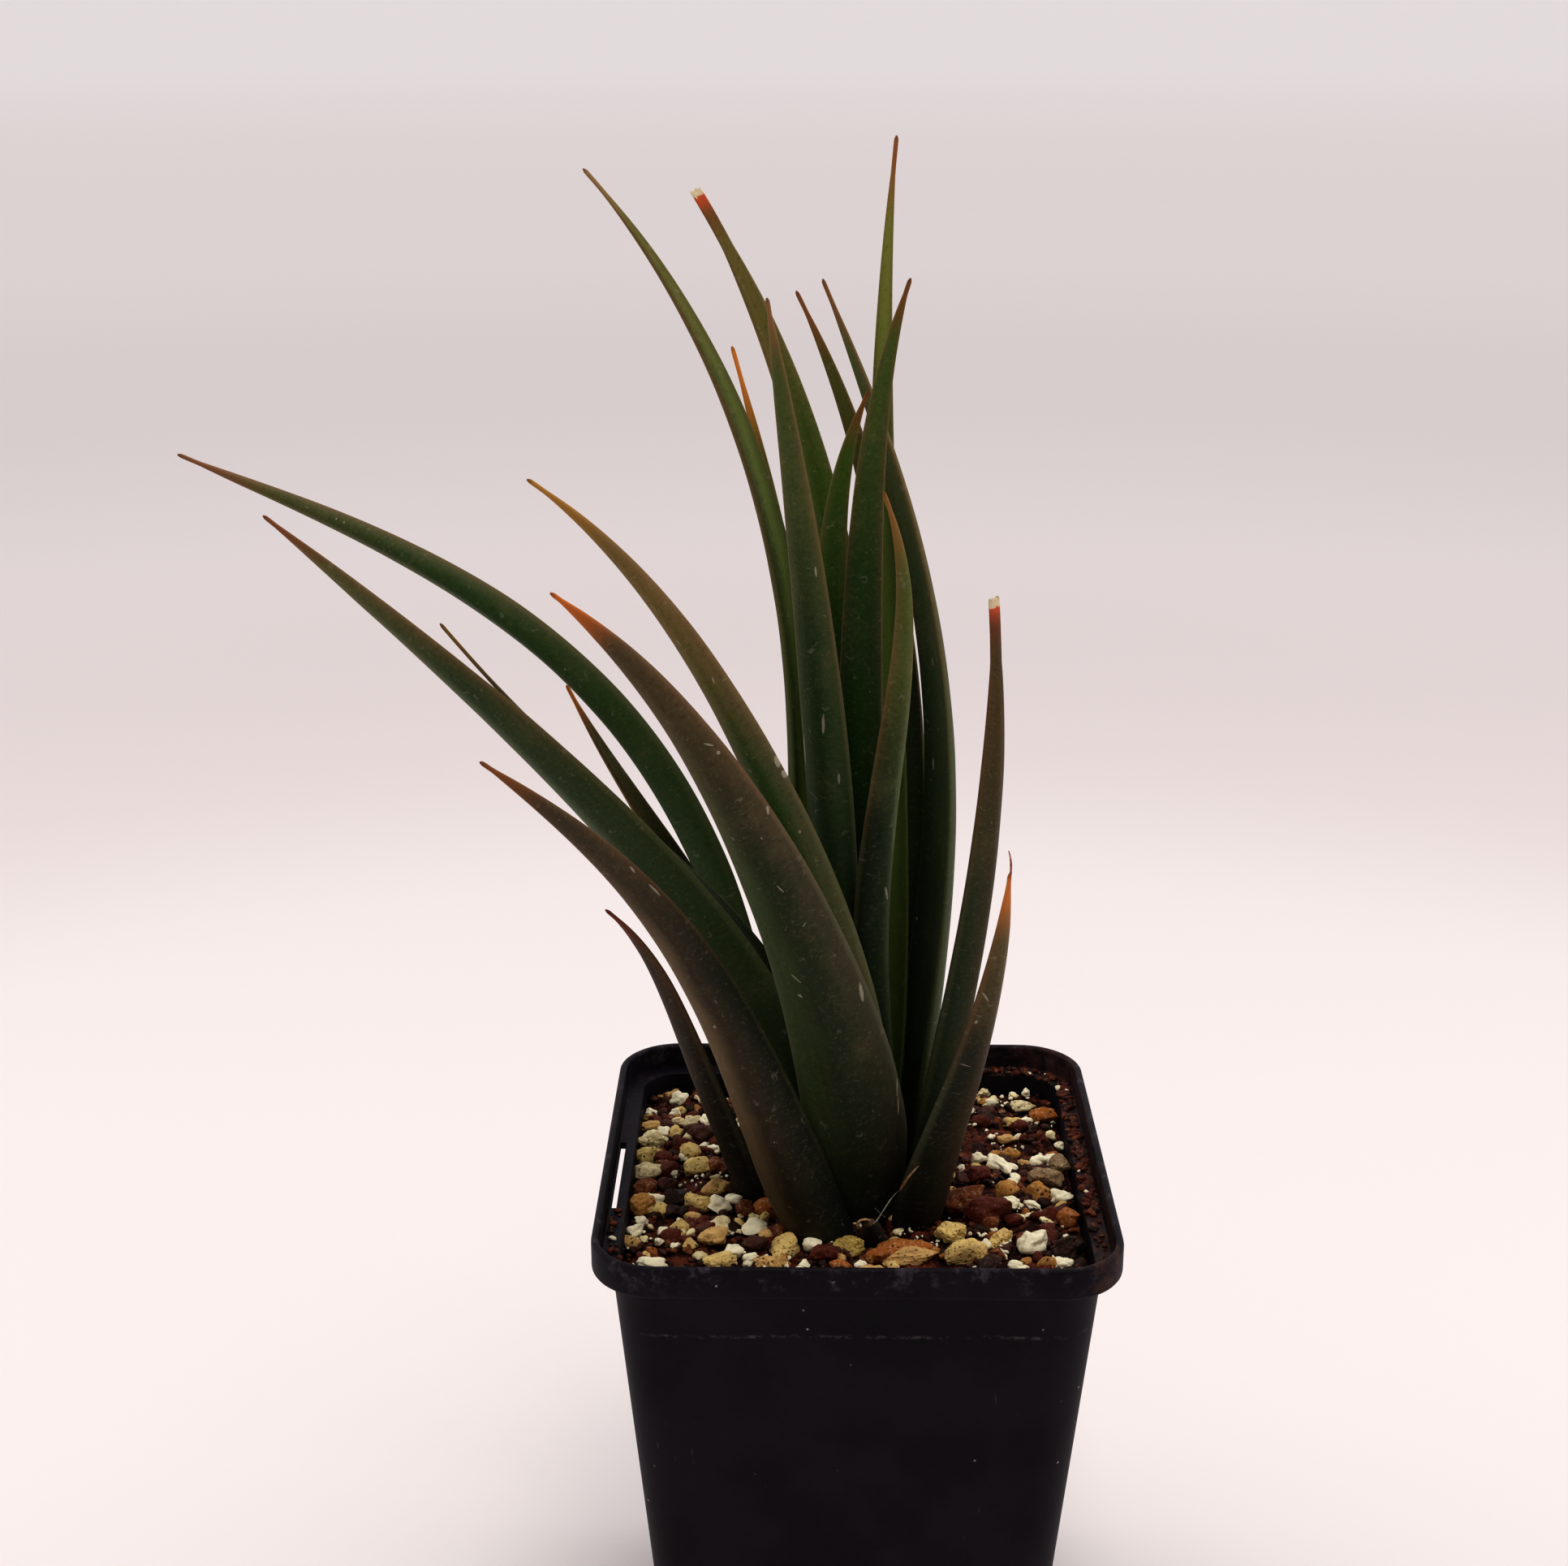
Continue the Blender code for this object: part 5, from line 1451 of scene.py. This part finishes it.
# %% Finish a leaf
DEEP_GREEN = paint(30, 40, 24)
OLIVE_BLOTCH = paint(112, 104, 76)
PALE_DASH = paint(150, 146, 116)
LOW_MARGIN = paint(116, 114, 84)
HIGH_MARGIN = paint(136, 98, 70)
TORN_CREAM = paint(222, 204, 172)


def leaf_paint(colour):
    return (*(value * lift for value, lift in zip(paint(*colour), LIGHTER)), 1.0)


def leaf_finish(name, look, seed):
    finish = Finish(name + "_skin", Specular_IOR_Level=0.25)
    stored = ("right", "side", "reach", "share", "to_tip")
    right, side, reach, share, to_tip = (finish.attribute(key) for key in stored)
    blade = finish.vector(side, reach, seed)
    blotch = finish.clouds(blade, 9.0, 4.0, 0.6) - 0.5
    veins = finish.clouds(finish.vector(side, reach * 0.03, seed), 0.8, 3.0) - 0.5
    fine = finish.clouds(blade, 0.55, 3.0, 0.7)
    drift = blotch * 0.8 + veins * 0.12 + (fine - 0.5) * 0.4
    dashes, threads, dots, marks = skin_marks(finish, side, reach, seed, fine, look.scars)
    ripening = (share + drift * 0.15).rise(look.ripens, look.ripens + 0.3)
    # sun bronzing together with painted sheen where the side lamps catch the sides of the upper blade
    sunned_and_lit = (abs(right) + drift * 0.6).rise(0.35, 1.0) * share.rise(0.45, 0.85)
    shaded = (reach + blotch * 14.0).rise(26.0, 2.0)
    edge = abs(right).rise(0.88, 0.99) * share.rise(0.08, 0.3)
    margin = finish.mix(share.rise(0.4, 0.75), LOW_MARGIN, HIGH_MARGIN)
    tip_ripe_and_glow = (to_tip + drift * 4.0).rise(look.tip_length * 1.3, look.tip_length * 0.2)
    coats = [
        # the side coats: each leaf's own colour with painted light and shade from the side lamps
        ((right + drift).rise(0.05, 0.8), 1.0, leaf_paint(look.right)),
        ((right + drift).rise(-0.05, -0.8), 1.0, leaf_paint(look.left)),
    ]
    if look.inside:
        coats.append((finish.attribute("inner"), 0.85, leaf_paint(look.inside)))
    coats += [
        (ripening, 0.85, leaf_paint(look.upper)),
        (sunned_and_lit, 0.35, SUN_BROWN_AND_SHEEN),
        (veins.rise(-0.02, 0.2), 0.12, DEEP_GREEN),
        ((blotch + fine * 0.2).rise(0.12, 0.4), 0.25, OLIVE_BLOTCH),
        (fine.rise(0.48, 0.28), 0.25, FOOT_SHADE),
        (fine.rise(0.54, 0.72), 0.22, PALE_GRAIN),
        (shaded, 0.5, FOOT_SHADE),
        (dashes, 0.25, PALE_DASH),
        (threads, 0.15, PALE_SCAR),
        (dots, 0.5, PALE_SCAR),
        (edge, 0.32, margin),
        # the tip's own dry colour, painted brighter orange for light glowing through the thin tip
        (tip_ripe_and_glow, 1.0, leaf_paint(look.tip)),
        (marks, 0.5, PALE_SCAR),
    ]
    if look.torn:
        scorched = (to_tip + drift * 4.0).rise(8.0, 2.0) * (1.0 - tip_ripe_and_glow)
        coats.append((scorched, 0.55, SCORCHED))
        coats.append(((to_tip + (fine - 0.5) * 1.2).rise(0.85, 0.55), 1.0, TORN_CREAM))
    else:
        coats.append((to_tip.rise(1.0, 0.2), 0.5, HORN))
    colour = finish.layers(leaf_paint(look.middle), coats)
    rough = 0.5 + fine * 0.14 + marks * 0.2 + shaded * 0.1
    height = fine * 0.8 + dashes * 0.35 + veins * 0.8 + threads * 0.5 - marks * 0.8
    return finish.wear(colour, rough, finish.bump(height, 0.06, 0.8))


first_paint = leaf_paint(LOOKS["leaf_left_high"].middle)
print("leaf_left_high in linear light:", [round(share, 3) for share in first_paint[:3]])

# %% [markdown]
# Now the two halves meet: every leaf in the table is shaped, finished and laid over its CAD
# node. The seeds differ from leaf to leaf, so no two have the same swellings or blotches.

# %% Grow the leaves
leaf_rings = {}
for seed, (name, leaf) in enumerate(LEAVES.items()):
    look = LOOKS[name]
    points, facts = shape_leaf(leaf, seed + 0.5, look.torn)
    leaf_rings[name] = points
    material = leaf_finish(name, look, seed * 17.0)
    faces = tube_faces(LEAF_RINGS, 2 * HALF_AROUND)
    points = points.reshape(-1, 3)
    piece = make_piece(name + "_blade", points, faces, material, facts, 60)
    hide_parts(name)
print("faces in each leaf:", len(faces))

# %% [markdown]
# ## Dry ends and the stem
#
# A few dead scraps cling to the plant: a thread at the tip of the short leaf on the right, its
# torn margin near the foot, two fallen fibres that cross in front, and the curled lip of the
# old stub. Curves with a bevel would do, but tubes made here can be flat and uneven, and
# narrow at both ends as dry fibres do.

# %% Make a strand
STRAND_UNEVENNESS = 0.35
STRAND_FLATNESS = 0.6


def strand(name, points, thickness, material, sides=8):
    """A thin uneven tube through the points, which narrows at both ends."""
    rows = np.array(points, float)
    steps = np.linspace(0.0, len(rows) - 1.0, 10 * (len(rows) - 1) + 1)
    curves = [np.polyfit(range(len(rows)), rows[:, axis], min(3, len(rows) - 1)) for axis in range(3)]
    line = np.stack([np.polyval(curve, steps) for curve in curves], axis=1)
    along = unit(np.gradient(line, axis=0))
    side = unit(np.cross(along, (0.21, 0.13, 0.97)))
    other = np.cross(along, side)
    rings = []
    for i, middle in enumerate(line):
        share = i / (len(line) - 1)
        uneven = 1.0 + STRAND_UNEVENNESS * noise.noise(Vector(middle) * 1.7)
        radius = thickness / 2 * uneven * math.sin(math.pi * (0.06 + 0.88 * share)) ** 0.4
        for angle in np.arange(sides) * math.tau / sides:
            out = side[i] * math.cos(angle) + other[i] * STRAND_FLATNESS * math.sin(angle)
            rings.append(middle + out * radius)
    return make_piece(name, rings, tube_faces(len(line), sides), material)


def dry_finish(name, colour, dark):
    finish = Finish(name, Specular_IOR_Level=0.2)
    place = finish.place()
    fibres = finish.clouds(place, 0.35, 4.0, 0.7)
    worn = finish.mix(fibres.rise(0.35, 0.7), paint(*dark), paint(*colour))
    return finish.wear(worn, fibres * 0.2 + 0.7, finish.bump(fibres, 0.08))


print("a strand is flattened to", STRAND_FLATNESS, "of its width")

# %% [markdown]
# Dead leaf dries to straw, to a dull pink or to grey. Each scrap follows a few points that
# were placed on the leaf or the mix that carries it.

# %% Add the dry scraps
straw = dry_finish("dry_straw", (214, 184, 146), (150, 112, 80))
pink = dry_finish("dry_pink", (206, 150, 128), (140, 84, 66))
grey = dry_finish("dry_grey", (176, 172, 158), (112, 106, 92))
tip = leaf_rings["leaf_right_short"][-1].mean(axis=0)
tip_thread = (tip + (0, 0, -1.0), tip + (0.1, 0, 1.2), tip + (-0.25, 0, 3.0))
torn_margin = ((8.4, -16.2, 85.2), (7.4, -16.15, 83.9), (6.6, -15.95, 82.6), (6.0, -15.3, 81.0))
fallen = ((6.0, -15.3, 81.0), (4.6, -15.6, 79.6), (3.2, -17.4, 78.2), (2.2, -18.5, 77.7))
crossed = ((2.6, -16.9, 79.2), (3.2, -16.7, 78.4), (4.0, -16.5, 77.6))
lip = ((0.35, -18.6, 77.0), (0.3, -18.7, 77.9), (0.9, -18.7, 78.4), (1.9, -18.7, 78.3))
for name, points, thickness, material in (
    ("dry_tip_thread", tip_thread, 0.4, pink),
    ("torn_margin", torn_margin, 0.5, straw),
    ("fallen_thread", fallen, 0.22, grey),
    ("crossed_thread", crossed, 0.2, grey),
    ("stub_lip", lip, 0.6, straw),
):
    scrap = strand(name, points, thickness, material)
    print(name, "has", len(scrap.data.polygons), "faces")

# %% [markdown]
# The stem under the mix keeps its plain CAD shape, since only its finish could ever be seen,
# in the gaps between the leaves. It is fibrous and pale brown, like an old leaf scar.

# %% Finish the stem
def stem_finish():
    finish = Finish("stem_skin", Specular_IOR_Level=0.3)
    place = finish.place()
    fibres = finish.clouds(place, 1.8, 4.0, 0.6)
    colour = finish.mix(fibres.rise(0.35, 0.65), paint(62, 50, 32), paint(104, 92, 56))
    return finish.wear(colour, fibres * 0.2 + 0.6, finish.bump(fibres, 0.2))


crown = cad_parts["crown"]
crown.data.materials.clear()
crown.data.materials.append(stem_finish())
print("the stem carries", len(leaf_rings), "leaves")
